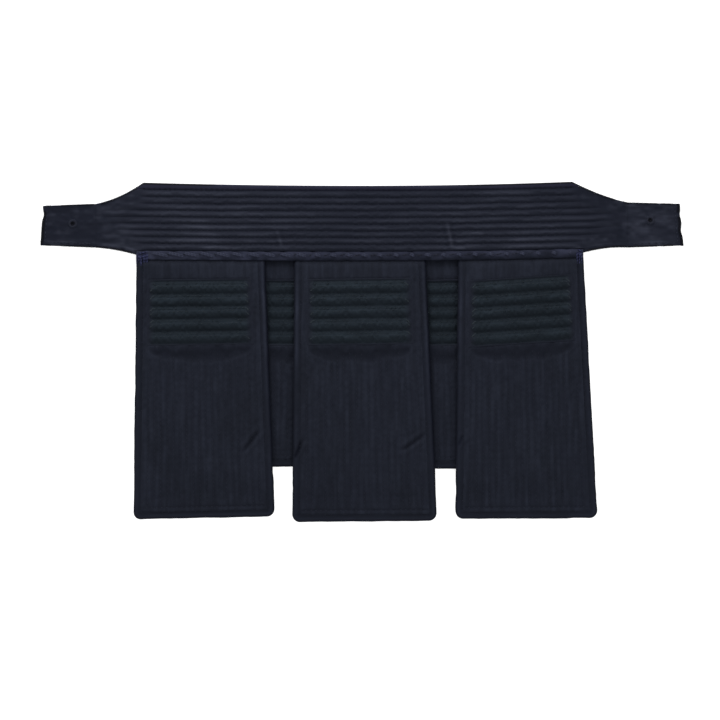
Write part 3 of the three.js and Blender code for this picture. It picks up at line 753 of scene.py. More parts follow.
def binding_roll():
    """The strip rolled over the belt's upper edge: a rounded square along it, puckered by its stitches."""
    overhang, stations = 6.5, 330
    left, right = -LEFT["corner"] - overhang, RIGHT["corner"] + overhang
    x = np.linspace(left, right, stations)[:, None]
    low = RIB_TOP_Y + rise(x)
    high = np.maximum(outline_top(x), low + 0.6)
    across, up = superellipse(count=22, power=0.7)
    pucker = 1 + 0.05 * noise(x / 2.6, 2 * across, 21) + 0.03 * noise(x / 11, across, 22)
    y = mix(low, high, 0.5 + 0.5 * across)
    z = mix(BINDING_LOW_Z, BINDING_HIGH_Z, 0.5 + 0.5 * up * np.minimum(pucker, 1.06))
    crest = np.clip(up * 0.5 + 0.5 * np.abs(across), 0, 1) + 0 * x
    dark_lengths = np.maximum(smoothstep(-x, 140, 155), smoothstep(x, 95, 110))
    inside = 1 - dark_lengths * smoothstep(across, 0.3, 0.6)
    roll = loft("binding_roll", gather(x, y, z), BINDING_CLOTH, crest, inside)
    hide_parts("belt_top_binding")
    margin, pitch, stitch = 6, 5.2, [2.8, 0.2, 0]
    start_x = np.arange(left + margin, right - margin, pitch)
    start = gather(start_x, RIB_TOP_Y + rise(start_x) + 1.6, BINDING_HIGH_Z - 0.5)
    paths = arcs(start, start + stitch, height=0.45)
    threads("binding_stitches", paths, DARK_THREAD, radius=0.32)


def joining_tape():
    """The band over the seam: a crowned section falling towards the flaps, drawn in at each lacing stitch."""
    left, right, stations = -LEFT["seam_end"] + GAP, RIGHT["seam_end"] - GAP, 420
    x = np.linspace(left, right, stations)[:, None]
    across, up = superellipse(count=24, power=0.75)
    squeeze = 1 - 0.07 * np.cos(2 * np.pi * x / LACING_PITCH) + 0.12 * noise(x / 5, 1.5 * across, 31)
    half = (TAPE_HIGH_Y - TAPE_LOW_Y) / 2
    y = TAPE_MIDDLE_Y + rise(x) + half * across * np.minimum(squeeze, 1)
    top = TAPE_HIGH_Z - 0.3 - 0.55 * (1 - across)
    z = mix(TAPE_LOW_Z, top, 0.5 + 0.5 * up * squeeze)
    onward = smoothstep(x, left, 40)
    # Painted light: the tape's upper side lighter and its lower side darker
    worn_and_lit = mix(0.85, 0.55, onward) + mix(0.25, 0.6, onward) * across + 0.4 * noise(x / 6, 1.2 * across, 36)
    crest = np.clip(up, 0, 1) * np.clip(worn_and_lit, 0, 1) * mix(1.7, 1.0, onward)
    tape = loft("seam_tape", gather(x, y, z), TAPE_CLOTH, np.clip(crest, 0, 1))
    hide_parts("joining_tape")
    seam_lacing(left, right)
    for side in (LEFT, RIGHT):
        seam_tack(side)


def seam_lacing(left, right):
    """Pairs of lacing stitches that slant down across the tape, long at the left and short at the right.

    A thinner thread runs back from each pair's end to the next one's start.
    """
    first, last = left + 23.6, right - 9
    x = np.arange(first, last, LACING_PITCH)
    count = np.arange(len(x))
    shorter = smoothstep(x, -190, 30)
    half = mix(9.4, 3.0, shorter) + 0.7 * waver(count * 1.3, 37)
    slant = mix(2.2, 0.8, shorter) + 0.5 * waver(count * 1.9, 32)
    level = TAPE_MIDDLE_Y + 0.9 + rise(x)
    sunk = 0.5 * smoothstep(x, 150, 190) + 0.25 * waver(count * 2.7, 38)
    start = gather(x - half, level + slant, TAPE_HIGH_Z - 0.6 - sunk)
    end = gather(x + half, level - slant, TAPE_HIGH_Z - 1.2 - sunk)
    for ply, aside in (("lower", -0.6), ("upper", 0.6)):
        beside = np.array([0.4 * aside, aside, 0.0])
        paths = arcs(start + beside, end + beside, height=0.5, sunk=0.8, points=9)
        threads(f"seam_lacing_{ply}", paths, LACING_YARN, radius=1.05, sides=8, ends=0.3)
    back, forth = end[:-1] + [0.4, 0.3, 0.2], start[1:] + [-0.4, 0.0, -0.2]
    paths = arcs(back, forth, height=0.2, sunk=0.3, points=7)
    threads("seam_underlacing", paths, QUILT_THREAD, radius=0.5)


def seam_tack(side):
    """Whipped threads that hold the end of the seam: uneven upright wraps, crossed by two slanting ones."""
    sign, name = side["sign"], side["name"]
    out_x = side["seam_end"] - 1.4
    count = np.arange(side["tacks"])
    wander = waver(count * 1.3, 33 + sign)
    x = sign * (out_x - count * 1.5) + 0.9 * wander
    high_y = 98.6 + rise(x) + 1.8 * wander
    low_y = 85.4 + rise(x) + 3.0 * waver(count * 2.1, 34)
    start = gather(x - 0.6, high_y, TAPE_HIGH_Z - 0.4)
    end = gather(x + 1.6 * waver(count * 1.7, 35), low_y, TAPE_HIGH_Z - 1.3)
    paths = arcs(start, end, height=0.25, sunk=1.0, points=11)
    paths[..., 2] -= bell(paths[..., 1] - rise(paths[..., 0]), TAPE_LOW_Y - 2, 1.8)
    threads(f"seam_tack_{name}", paths, TACK_THREAD, radius=0.75, sides=7)
    start = gather(sign * (out_x + 0.6), np.array([96.8, 92.6]) + rise(sign * out_x), TAPE_HIGH_Z - 0.4)
    end = start + [-sign * 1.45 * len(count), 2.2, 0.0]
    paths = arcs(start, end, height=0.6, sunk=1.2, points=9)
    threads(f"seam_wrap_{name}", paths, TACK_THREAD, radius=0.7, sides=7)


# Straps


def strap_corners(side):
    """A strap's eyelet, and its four corners as seen from there."""
    root = WING_END_X - STRAP_TUCK
    corners = [(root, side["wing_low"]), side["strap_low"], side["strap_top"], (root, side["wing_top"])]
    eye = on_side(side, side["eyelet"])
    return eye, on_side(side, corners) - eye


def strap_reach(corners, turn):
    """How far the strap's edge lies from the eyelet in each direction: its nearest side on that ray."""
    edge = np.roll(corners, -1, 0) - corners
    normal = gather(edge[:, 1], -edge[:, 0])
    away = np.einsum("ij,ij->i", normal, corners)[:, None]
    toward = normal @ np.stack([np.cos(turn), np.sin(turn)])
    return np.where(toward * np.sign(away) > TINY, away / toward, np.inf).min(0)


def strap_edges(side, x):
    """The y of a strap's lower and upper edge at x."""
    ends = ((side["wing_low"], side["strap_low"]), (side["wing_top"], side["strap_top"]))
    return [
        np.interp(side["sign"] * x, [WING_END_X, tip_x], [root_y, tip_y])
        for root_y, (tip_x, tip_y) in ends]


def strap_inwards(side, x, y):
    """How far a strap's point lies in from the strap's straight end."""
    (low_x, low_y), (top_x, top_y) = side["strap_low"], side["strap_top"]
    return np.interp(y, [low_y, top_y], [low_x, top_x]) - side["sign"] * x


def notched(side, points):
    """Points moved inwards where a strap's end is drawn in between its corners, less and less over 12 mm."""
    x, y, z = np.moveaxis(points, -1, 0)
    depth = sum(deep * bell(y, at, 4.5) for at, deep in side["notches"])
    return gather(x - side["sign"] * depth * (1 - smoothstep(strap_inwards(side, x, y), 0, 12)), y, z)


def strap_face(side, x, y):
    """A strap's thickness: doubled cloth, thicker at its turned end and edges, puckered at the eyelet."""
    inwards = strap_inwards(side, x, y)
    low, high = strap_edges(side, x)
    beside = np.minimum(y - low, high - y)
    begun = smoothstep(np.abs(x), WING_END_X, WING_END_X + 12)
    turned_end = 0.45 * (1 - smoothstep(inwards, 5.2, 6.4))
    turned_edge = 0.3 * (1 - smoothstep(beside, 4.0, 5.0)) * begun
    out_x, out_y = side["sign"] * x - side["eyelet"][0], y - side["eyelet"][1]
    far = np.hypot(out_x, out_y)
    ring = 0.25 * bell(far, 3.4, 1.3)
    pucker = 0.16 * np.cos(7 * np.arctan2(out_y, out_x) + 0.6) * bell(far, 7.5, 4.0)
    sewn_line = 0.35 * bell(inwards, side["hem"], 0.5) + 0.3 * begun * bell(beside, STRAP_HEM, 0.5)
    tucked = 0.9 * (1 - smoothstep(np.abs(x), WING_END_X - 1.2, WING_END_X))
    rolled_end = 0.9 * (1 - rounded(np.maximum(inwards, 0), 3.0))
    face = STRAP_FACE + turned_end + turned_edge + ring + pucker + wrinkles(x, y) * mix(1.0, 0.75, begun)
    return np.clip(face - sewn_line - tucked - rolled_end, 1.0, STRAP_THICK + 0.6)


def strap_cloth(side):
    """A strap end: rings carried round its eyelet, out over the face to the edge and back underneath."""
    eye, corners = strap_corners(side)
    stations = 200
    evenly = np.linspace(-np.pi, np.pi, stations, endpoint=False)
    turn = np.sort(np.concatenate([evenly, np.arctan2(corners[:, 1], corners[:, 0])]))
    reach = strap_reach(corners, turn)[:, None]
    percent = np.concatenate([[0, 0.25, 0.7], np.linspace(1.4, 98.6, 56), [99.3, 99.75, 100]])
    radius = mix(EYELET_RADIUS, reach, percent[None] / 100)
    x = eye[0] + radius * np.cos(turn)[:, None]
    y = eye[1] + radius * np.sin(turn)[:, None]
    face = strap_face(side, x, y)
    over = rounded(np.minimum(radius - EYELET_RADIUS, reach - radius), STRAP_RIM)
    top = gather(x, y, mix(0.5 * face, face, over))
    every_fourth = slice(-2, 0, -4)
    back = gather(x, y, 0.5 * face * (1 - over))[:, every_fourth]
    worn_and_lit = loose_wear_and_highlight(x, y, strap_edges(side, x)[0])
    # Painted shade: darker towards the strap's end, within about 8 mm of it
    worn_and_lit = worn_and_lit * mix(0.4, 1.0, smoothstep(strap_inwards(side, x, y), 5, 8))
    rings = notched(side, np.concatenate([top, back], 1))
    strap = loft(
        f"strap_cloth_{side['name']}", rings, STRAP_CLOTH, with_back(worn_and_lit, back, BACK_WEAR),
        joined=True)
    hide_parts(f"strap_{side['name']}")


def on_strap(side, points):
    """Points of a strap's plan, raised to just above its face."""
    return np.column_stack([points, strap_face(side, points[:, 0], points[:, 1]) + 0.15])


def strap_stitches(side):
    """Pale running stitches inside a strap's end and lower edge, and dark ones over its edges, put there as
    painted shade along them.
    """
    name = side["name"]
    low, top = np.array(side["strap_low"]), np.array(side["strap_top"])
    root_low, root_top = np.array([WING_END_X, side["wing_low"]]), np.array([WING_END_X, side["wing_top"]])
    runs, over = [], []
    space, over_pitch = 1.5, 1.3
    for first, last, inward, hem, pitch in (
            (low, top, (-1, 0), side["hem"], 4.2), (root_low, low, (0, 1), STRAP_HEM, 6.8)):
        length = np.linalg.norm(last - first)
        share = np.arange(0.08, 0.9, pitch / length)[:, None]
        starts_and_ends = np.stack([share, share + (pitch - space) / length])
        runs.append(first + hem * np.array(inward) + (last - first) * starts_and_ends)
    start, end = (on_strap(side, points) for points in on_side(side, np.concatenate(runs, 1)))
    threads(f"strap_stitches_{name}", arcs(start, end, height=0.3), HEM_THREAD, radius=0.3)
    # Dark threads over the strap's edges, as painted shade
    for first, last, inward, reach in (
            (low, top, (-side["sign"], 0), 3.2), (root_low, low, (0, 1), 1.6), (root_top, top, (0, -1), 1.3)):
        share = np.arange(0.0, 1.0, over_pitch / np.linalg.norm(last - first))[:, None]
        edge = on_side(side, mix(first, last, share))
        over.append(over_edge(
            edge, inward, lambda x, y: strap_face(side, x, y), STRAP_RIM, reach, 45 + side["sign"]))
    paths = notched(side, np.concatenate(over))
    threads(f"strap_edges_{name}", paths, DARK_THREAD, radius=0.5, ends=0.8)


def eyelet_stitches(side):
    """Threads round a strap's eyelet: pale ones out on the cloth, and dark ones drawn in to its middle."""
    name = side["name"]
    count = 22
    turn = np.linspace(0, 2 * np.pi, count, endpoint=False)
    eye, spokes = on_side(side, side["eyelet"]), gather(np.cos(turn), np.sin(turn))
    outer, rim, heart = (on_strap(side, eye + radius * spokes) for radius in (4.4, 2.0, 0.1))
    heart[:, 2] = 1.2
    paths = arcs(outer, rim, height=0.3, sunk=0.3)
    threads(f"eyelet_stitches_{name}", paths, HEM_THREAD, radius=0.3, ends=0.9)
    paths = arcs(rim, heart, height=0.2, sunk=0.0)
    threads(f"eyelet_heart_{name}", paths, DARK_THREAD, radius=0.42, ends=0.9)


# Flaps and their quilting


def piece_name(flap, piece):
    """The name of a flap's piece or node, such as inner_pad_left."""
    layer, side = flap["name"].split("_")
    return f"{layer}_{piece}_{side}"


def flap_length(flap):
    """A flap's length from seam to hem at its longer edge."""
    return FLAP_SEAM_Y - min(flap["hem_y"])


def flap_point(flap, across, down, inset=0.0):
    """x and y of a flap's point, across from 0 at its left edge to 1 at its right and down from the seam.

    Edges run straight from seam to hem. Rows lean with the panel and come level again at seam and hem.
    """
    share = down / flap_length(flap)
    left = mix(flap["seam"][0], flap["hem"][0], share) + inset
    right = mix(flap["seam"][1], flap["hem"][1], share) - inset
    x = mix(left, right, across)
    top_y = FLAP_SEAM_Y + mix(rise(flap["seam"][0]), rise(flap["seam"][1]), across)
    hem_y = mix(flap["hem_y"][0], flap["hem_y"][1], across)
    tilt = np.tan(np.radians(flap["tilt"])) * between(down, 0, PANEL_START, PANEL_END, TILT_FADE)
    return x, mix(top_y, hem_y, share) + tilt * (x - (left + right) / 2)


def underside(flap, across, down):
    """Height of a flap's back: on the floor, or for an outer flap on the inner flap that it overlaps."""
    if flap["make"] is INNER:
        return np.zeros(np.broadcast(across, down).shape)
    start, end = flap["lift"]
    overlap = np.clip((across - start) / (end - start), 0, 1)
    lying = OVERLAP_LIFT * overlap * (1 - smoothstep(down, LIFT_END, flap_length(flap)))
    return mix(SEAM_LIFT, lying, np.clip((down - TAB_LENGTH) / (PANEL_START - TAB_LENGTH), 0, 1))


def under_pad(flap, column, down):
    """Height of a flap's back under a point of its pad, whose columns run between the edgings."""
    width = flap_point(flap, 1.0, down)[0] - flap_point(flap, 0.0, down)[0]
    return underside(flap, (INSET + column * (width - 2 * INSET)) / width, down)


def in_gap(flap, x, y):
    """How free a point is of painted shade: 0 on an inner flap beside the outer flaps that cover its sides,
    else 1.
    """
    if flap["make"] is OUTER:
        return 1.0
    first = FLAPS.index(flap) + 2
    left, right = (
        mix(outer["seam"][n], outer["hem"][n], (SEAM_Y - y) / flap_length(outer))
        for outer, n in ((FLAPS[first], 1), (FLAPS[first + 1], 0)))
    return smoothstep(np.minimum(x - left, right - x), 0.5, 5.5)


def pad_end(flap):
    """Where a pad ends, at its hem edging."""
    return flap_length(flap) - INSET


def pad_width(flap, down):
    """A pad's width between its edgings."""
    return flap_point(flap, 1.0, down, INSET)[0] - flap_point(flap, 0.0, down, INSET)[0]


def panel_columns(flap):
    """The pad's columns at the two sides of the panel."""
    middle = PANEL_START + PANEL_LENGTH / 2
    half = flap["make"]["panel_width"] / 2
    from_left = flap["panel_x"] - flap_point(flap, 0.0, middle, INSET)[0]
    return (from_left - half) / pad_width(flap, middle), (from_left + half) / pad_width(flap, middle)


def strip_count(flap):
    """How many strips the quilting lines part a pad into, each about one pitch wide."""
    return int(round(pad_width(flap, PANEL_END) / QUILT_PITCH))


def quilt_start(flap, line):
    """How far down each quilting line starts, a little unevenly below the panel."""
    return PANEL_END + flap["drop"] + 9.0 + 3.0 * noise(line * 1.9, flap["panel_x"], 61)


def dip_depth(flap, column, down):
    """Depth of the sunk place under the panel: a bow hung from its lower corners, deepest along the bow."""
    left, right = panel_columns(flap)
    across = np.clip((column - left) / (right - left), 0, 1)
    bow = mix(4.0, DIP_LENGTH, np.sqrt(np.maximum(1 - (2 * across - 1) ** 2, 0)))
    x, y = flap_point(flap, column, down, INSET)
    below = (down - PANEL_END - flap["drop"]) / bow + 0.1 * noise(x / 9, y / 9, 62)
    sideways = between(column, left - 0.02, left + 0.06, right - 0.06, right + 0.02)
    return DIP_DEPTH * between(below, -0.1, 0.75, 0.85, 1.2) * sideways


def quilting_depth(flap, column, down):
    """Depth of a pad's sewing: grooves along the quilting lines, pulled in at stitches, and the hem line.

    The lines are uneven in strength, and the cloth between them is a little rough.
    """
    x, y = flap_point(flap, column, down, INSET)
    width, count, end = pad_width(flap, down), strip_count(flap), pad_end(flap)
    beside = np.minimum(column, 1 - column) * width
    line = np.round(column * count)
    off = (column * count - line) * width / count
    start = quilt_start(flap, line)
    sewn = between(down, start - 3, start + 6, end - 5.5, end - 4) * smoothstep(beside, 1.5, 3)
    pull = 0.85 + 0.15 * np.cos(2 * np.pi * (down / STITCH_PITCH + STITCH_STAGGER * line))
    strength = 0.75 + 0.45 * noise(line * 2.3, down / 34, 63)
    lines = QUILT_DEPTH * bell(off, 0, QUILT_HALF) * sewn * pull * strength
    hem = 0.5 * bell(end - down, HEM_LINE, 0.7) * smoothstep(beside, 0, 2)
    return lines + hem - bumps(x, y, (0.16, 5, 9, 64), (0.1, 2.2, 3.1, 65))


def pad_thickness(flap, column, down, quilted=True):
    """Thickness of a pad: tab, plain band, the panel's bed, a dip below, then quilting to the hem line."""
    make = flap["make"]
    x, y = flap_point(flap, column, down, INSET)
    edge = np.minimum(np.minimum(column, 1 - column) * pad_width(flap, down), pad_end(flap) - down)
    thick = make["thick"] - PAD_SHOULDER_DROP * (1 - rounded(edge, PAD_SHOULDER))
    thick = mix(make["tab"], thick, smoothstep(down, TAB_LENGTH, TAB_LENGTH + make["band_rise"]))
    thick = thick - dip_depth(flap, column, down) * make["thick"] / OUTER["thick"]
    thick = thick - crease_depth(flap["name"], x, y)
    if quilted:
        thick = thick - quilting_depth(flap, column, down)
    left, right = panel_columns(flap)
    across_panel = between(column, left - 0.006, left, right, right + 0.006)
    down_panel = between(
        down - flap["drop"], PANEL_START - PANEL_MARGIN, PANEL_START, PANEL_END, PANEL_END + PANEL_MARGIN)
    return mix(thick, make["bed"], across_panel * down_panel)


def pad_surface(flap, column, down, quilted=True):
    """Points of a pad's face: its back's height and its thickness, moved as the simulated cloth moved."""
    x, y = flap_point(flap, column, down, INSET)
    points = gather(x, y, under_pad(flap, column, down) + pad_thickness(flap, column, down, quilted))
    if "settled" in flap:
        rows, columns = flap["settled"].shape[:2]
        points = points + sample(flap["settled"], down / pad_end(flap) * (rows - 1), column * (columns - 1))
    return points


SIM_COLUMNS = 4
SIM_ROW = 2.2
FACE_COLUMNS = 9
FACE_ROW = 1.5
BACK_ROWS = 24
QUILT_STITCH = 2.5
HEM_STITCH = 3.0
HEM_STITCH_PITCH = 5.0


def settle_flap(flap):
    """A pad's face sewn down at its border, round its panel and along its quilting: sets how the cloth moves.

    The grid has four columns to a quilting line, and every other point along a line is sewn.
    """
    end = pad_end(flap)
    number, row = np.arange(SIM_COLUMNS * strip_count(flap) + 1)[None], np.arange(int(end / SIM_ROW))[:, None]
    column, down = number / number[0, -1], row * end / row[-1, 0]
    rest = pad_surface(flap, column, down, quilted=False)
    left, right = panel_columns(flap)
    into = down - flap["drop"]
    across_panel = (column > left - 0.02) & (column < right + 0.02)
    in_panel = across_panel & (into > PANEL_START - 2) & (into < PANEL_END + 2)
    beside = np.minimum(column, 1 - column) * pad_width(flap, down)
    border = (beside < 1.5) | (down < TAB_LENGTH + 2) | (end - down < HEM_LINE)
    line = number // SIM_COLUMNS
    on_line = (number % SIM_COLUMNS == 0) & ((row + line) % 2 == 0)
    quilting = on_line & (down > quilt_start(flap, line))
    flap["settled"] = settle(rest, in_panel | border | quilting, pressure=0.5, spare=0.01, cap=0.45)


def flap_pad(flap):
    """A flap's pad: rings down its face and back up, at stations across it."""
    settle_flap(flap)
    end = pad_end(flap)
    column = np.linspace(0, 1, FACE_COLUMNS * strip_count(flap) + 1)[:, None]
    down, back_down = np.linspace(0, end, int(end / FACE_ROW))[None], np.linspace(end, 0, BACK_ROWS)[None]
    face = pad_surface(flap, column, down)
    back = gather(*flap_point(flap, column, back_down, INSET), under_pad(flap, column, back_down))
    x, y = face[..., 0], face[..., 1]
    # Painted shade: the crest is lowered in the quilting grooves and the hem line, in the dip under the
    # panel, in the creases with painted highlight on their lips, and beside the outer flaps' edges
    sewn = pad_thickness(flap, column, down, quilted=False) - pad_thickness(flap, column, down)
    sunk = 0.45 * dip_depth(flap, column, down) + 0.25 * crease_depth(flap["name"], x, y)
    worn_and_lit = (0.45 * smoothstep(down, 4, 9) - 0.9 * sewn - sunk) * in_gap(flap, x, y)
    pad = loft(
        piece_name(flap, "pad"), np.concatenate([face, back], 1), FLAP_CLOTH,
        with_back(np.clip(worn_and_lit, 0, 1), back, BACK_WEAR))
    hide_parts(piece_name(flap, "flap"))


def flap_stitches(flap):
    """Running stitches along the quilting lines and the hem line, laid on the pad's face."""
    count, end = strip_count(flap), pad_end(flap)
    line, step = np.meshgrid(np.arange(1, count), np.arange(int(end / STITCH_PITCH)), indexing="ij")
    down = (step - STITCH_STAGGER * line % 1 - 0.3) * STITCH_PITCH
    kept = (down > quilt_start(flap, line)) & (down < end - 9)
    column, down = (line / count)[kept], down[kept]
    start, stop = (pad_surface(flap, column, down + length) for length in (0.0, QUILT_STITCH))
    paths = arcs(start, stop, height=0.2, sunk=0.12, points=4)
    threads(piece_name(flap, "quilting"), paths, QUILT_THREAD, radius=0.21, sides=4)
    width = pad_width(flap, end)
    hem = np.arange(HEM_STITCH_PITCH, width - 6, HEM_STITCH_PITCH) / width
    hem_down = np.full(hem.shape, end - HEM_LINE)
    start, stop = (pad_surface(flap, hem + length / width, hem_down) for length in (0.0, HEM_STITCH))
    paths = arcs(start, stop, height=0.35)
    threads(piece_name(flap, "hem_stitches"), paths, QUILT_THREAD, radius=0.3)


# Edgings


ROLL_WIDTH = EDGING_WIDTH + GAP + 0.3
ROLL_OUT = np.array([0.0, 0.12, 0.45, 1.0, 1.7, 2.5, 3.4, 4.4, 5.3, 6.0, 6.5, 6.9, ROLL_WIDTH])
ROLL_BACK = np.array([5.0, 2.6, 1.2, 0.5, 0.14])
ROLL_SIDE_LEVEL = 0.45
EDGING_STEP = 1.6
CORNER_POINTS = 12
HEM_POINTS = 80
OVERCAST_PITCH = 5.6


def edging_path(flap):
    """An edging's way: outline points, directions inwards, and each point's place across and down its flap.

    It runs down the left side, round a quarter circle, along the hem, round another and up the right side.
    """
    length = flap_length(flap)
    corner_down = length - CORNER_RADIUS
    down = np.linspace(EDGING_TUCK, corner_down, int(corner_down / EDGING_STEP))
    turn = np.linspace(0, np.pi / 2, CORNER_POINTS)[1:-1]
    sides, centres = [], []
    for across, sign in ((0.0, 1.0), (1.0, -1.0)):
        x, y = flap_point(flap, across, down)
        centre_x, centre_y = x[-1] + sign * CORNER_RADIUS, y[-1]
        in_x, in_y = sign * np.cos(turn), np.sin(turn)
        corner = gather(
            centre_x - CORNER_RADIUS * in_x, centre_y - CORNER_RADIUS * in_y, in_x, in_y, across,
            corner_down + CORNER_RADIUS * in_y)
        sides.append(np.concatenate([gather(x, y, sign, 0.0, across, down), corner]))
        centres.append((centre_x, centre_y))
    share = np.linspace(0, 1, HEM_POINTS)
    (left_x, left_y), (right_x, right_y) = centres
    hem_x, hem_y = mix(left_x, right_x, share), mix(left_y, right_y, share) - CORNER_RADIUS
    hem = gather(hem_x, hem_y, 0.0, 1.0, share, length)
    path = np.concatenate([sides[0], hem, sides[1][::-1]])
    return path[:, :2], path[:, 2:4], path[:, 4:5], path[:, 5:]


def roll_section():
    """An edging's section: widths in from the outline, and heights as shares of its own height.

    The outer side is half round, and the face rises a little to the pad that it meets.
    """
    face = mix(ROLL_SIDE_LEVEL, 1.0, rounded(ROLL_OUT, 2.8)) + 0.08 * smoothstep(ROLL_OUT, 4.0, ROLL_WIDTH)
    under = ROLL_SIDE_LEVEL * (1 - rounded(ROLL_BACK, 1.6))
    widths = np.concatenate([ROLL_OUT, [ROLL_WIDTH], ROLL_BACK])
    return widths[None], np.concatenate([face, [0.0], under])[None]


def flap_edging(flap):
    """A flap's edging: a roll of cloth carried round the outline, overcast to the pad along its inner side.

    It swells and wanders a little along its run, is a little worn on its crest with a painted highlight there
    where an inner flap lifts it, and has painted shade at its border and in its creases, fainter on the left
    edges over an inner flap.
    """
    make, seed = flap["make"], int(abs(flap["panel_x"]))
    outline, inwards, across, down = edging_path(flap)
    run = np.concatenate([[0], np.cumsum(np.linalg.norm(np.diff(outline, axis=0), axis=1))])[:, None]
    width, up = roll_section()
    grown = np.clip((down - TAB_LENGTH) / make["band_rise"], 0, 1)
    tall = mix(min(make["tab"] - GAP, make["edging"]), make["edging"], grown)
    swell = 1 + 0.05 * noise(run / 3.2, 0.4 * width, seed) + 0.05 * noise(run / 11, up, seed + 1)
    wander = 0.35 * waver(run / 13, seed + 2) + 0.2 * waver(run / 5, seed + 3) - 0.6
    inset = width + wander * (1 - width / ROLL_WIDTH)
    base = underside(flap, across, down)
    x, y = (outline[:, n, None] + inwards[:, n, None] * inset for n in range(2))
    creased = crease_depth(flap["name"], x, y)
    z = base + (tall * np.clip(swell, 0.88, 1.06) - creased) * up
    lifted = base / OVERLAP_LIFT
    # Painted highlight on the crest where an inner flap lifts the edging, over a little wear
    crest = np.clip(bell(width, 2.9, 1.5) * (0.25 + 0.65 * lifted * bell(down, 55, 45)), 0, 1)
    # Painted shade along the outer border and in the creases, fainter on the left edges over an inner flap
    fainter_shade = 0.6 * lifted * np.maximum(inwards[:, :1], 0)
    inside = mix(smoothstep(width, 0.4, 2.2), 1, fainter_shade) * (1 - 0.6 * np.clip(creased, 0, 1))
    roll = loft(piece_name(flap, "roll"), gather(x, y, z), EDGING_CLOTH, crest, inside)
    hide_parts(piece_name(flap, "edging"))
    at = np.searchsorted(run[:, 0], np.arange(6.0, run[-1, 0] - 6, OVERCAST_PITCH))
    sideways = inwards[at, ::-1] * [1.2, -1.2]
    on_roll = outline[at] + inwards[at] * (ROLL_WIDTH - 1.8)
    on_pad = outline[at] + inwards[at] * (ROLL_WIDTH + 1.4) + sideways
    pad_height = mix(make["tab"], make["thick"] - 0.6, grown[at])
    start = np.column_stack([on_roll, base[at] + 0.97 * tall[at]])
    end = np.column_stack([on_pad, base[at] + pad_height])
    paths = arcs(start, end, height=0.3)
    threads(piece_name(flap, "overcasting"), paths, QUILT_THREAD, radius=0.24)


# Ornament panels


PANEL_SIM_ROWS = 5
PANEL_STATIONS = 132
RIDGE_POINTS = 18
LIP_WIDTH = 2.2
RIDGE_PITCH = (PANEL_LENGTH - 2 * PANEL_MARGIN) / RIDGE_COUNT
LIP_ALONG = LIP_WIDTH / RIDGE_PITCH
RIDGE_WEAR = np.array([1.0, 0.92, 0.82, 0.76, 0.72])
PANEL_BACK_WEAR = 0.3
RIDGE_STITCH_PITCH = 4.2


def panel_place(flap, share, along):
    """The pad's column and the length down it of a panel's point."""
    left, right = panel_columns(flap)
    lip = LIP_WIDTH / pad_width(flap, PANEL_START)
    down = PANEL_START + PANEL_MARGIN + flap["drop"] + RIDGE_PITCH * along
    return mix(left - lip, right + lip, share), down


def panel_surface(flap, share, along):
    """Points of a panel's face: share across it from 0 to 1, and along counts ridges down it from 0 to 5.

    Ridges are a little fuller than a sine and end round, like tubes, and a thread draws each in along its
    upper side. All round the panel a narrow lip lies on the pad's face, its edge sunk in.
    Also gives each point's share of a full ridge and how far it is inside the panel.
    """
    make = flap["make"]
    column, down = panel_place(flap, share, along)
    x, y = flap_point(flap, column, down, INSET)
    beside = np.minimum(share, 1 - share) * (make["panel_width"] + 2 * LIP_WIDTH)
    ridge = np.clip(along, 0, RIDGE_COUNT)
    bulge = 6.0 * (1 - rounded(0.5 - np.abs(ridge % 1 - 0.5), 0.5))
    ends = rounded(np.maximum(beside - LIP_WIDTH - bulge, 0), 4.0)
    roll = np.abs(np.sin(np.pi * ridge)) ** 0.95
    plump = 1 + 0.1 * noise(x / 16, np.floor(along), 71)
    full = roll * plump * ends * (1 - 0.25 * bell(ridge % 1, 0.31, 0.05))
    valley = mix(make["thick"] - 0.1, make["groove"], smoothstep(beside, 2, 12))
    rim = np.minimum(beside, np.minimum(along + LIP_ALONG, RIDGE_COUNT + LIP_ALONG - along) * RIDGE_PITCH)
    lip = make["thick"] + 0.1 - 0.45 * (1 - rounded(rim, 0.9))
    height = mix(lip, mix(valley, make["crest"], full), smoothstep(rim, 1.2, 3.0))
    points = gather(x, y, height + under_pad(flap, column, down))
    if "ridges" in flap:
        rows, columns = flap["ridges"].shape[:2]
        points = points + sample(flap["ridges"], along / RIDGE_COUNT * (rows - 1), share * (columns - 1))
    return points, full, smoothstep(rim, 0.4, 3.2) * smoothstep(beside, 1, 9)


def settle_panel(flap):
    """A panel's ridges sewn down in the grooves and at both sides: sets how their cloth moves."""
    along = np.linspace(0, RIDGE_COUNT, RIDGE_COUNT * PANEL_SIM_ROWS + 1)[:, None]
    share = np.linspace(0, 1, int(flap["make"]["panel_width"] / 2))[None]
    rest = panel_surface(flap, share, along)[0]
    sewn = np.zeros(rest.shape[:2], bool)
    sewn[::PANEL_SIM_ROWS] = True
    sewn[:, [0, 1, 2, -3, -2, -1]] = True
    flap["ridges"] = settle(rest, sewn, pressure=1.5, spare=0.035, cap=0.6)


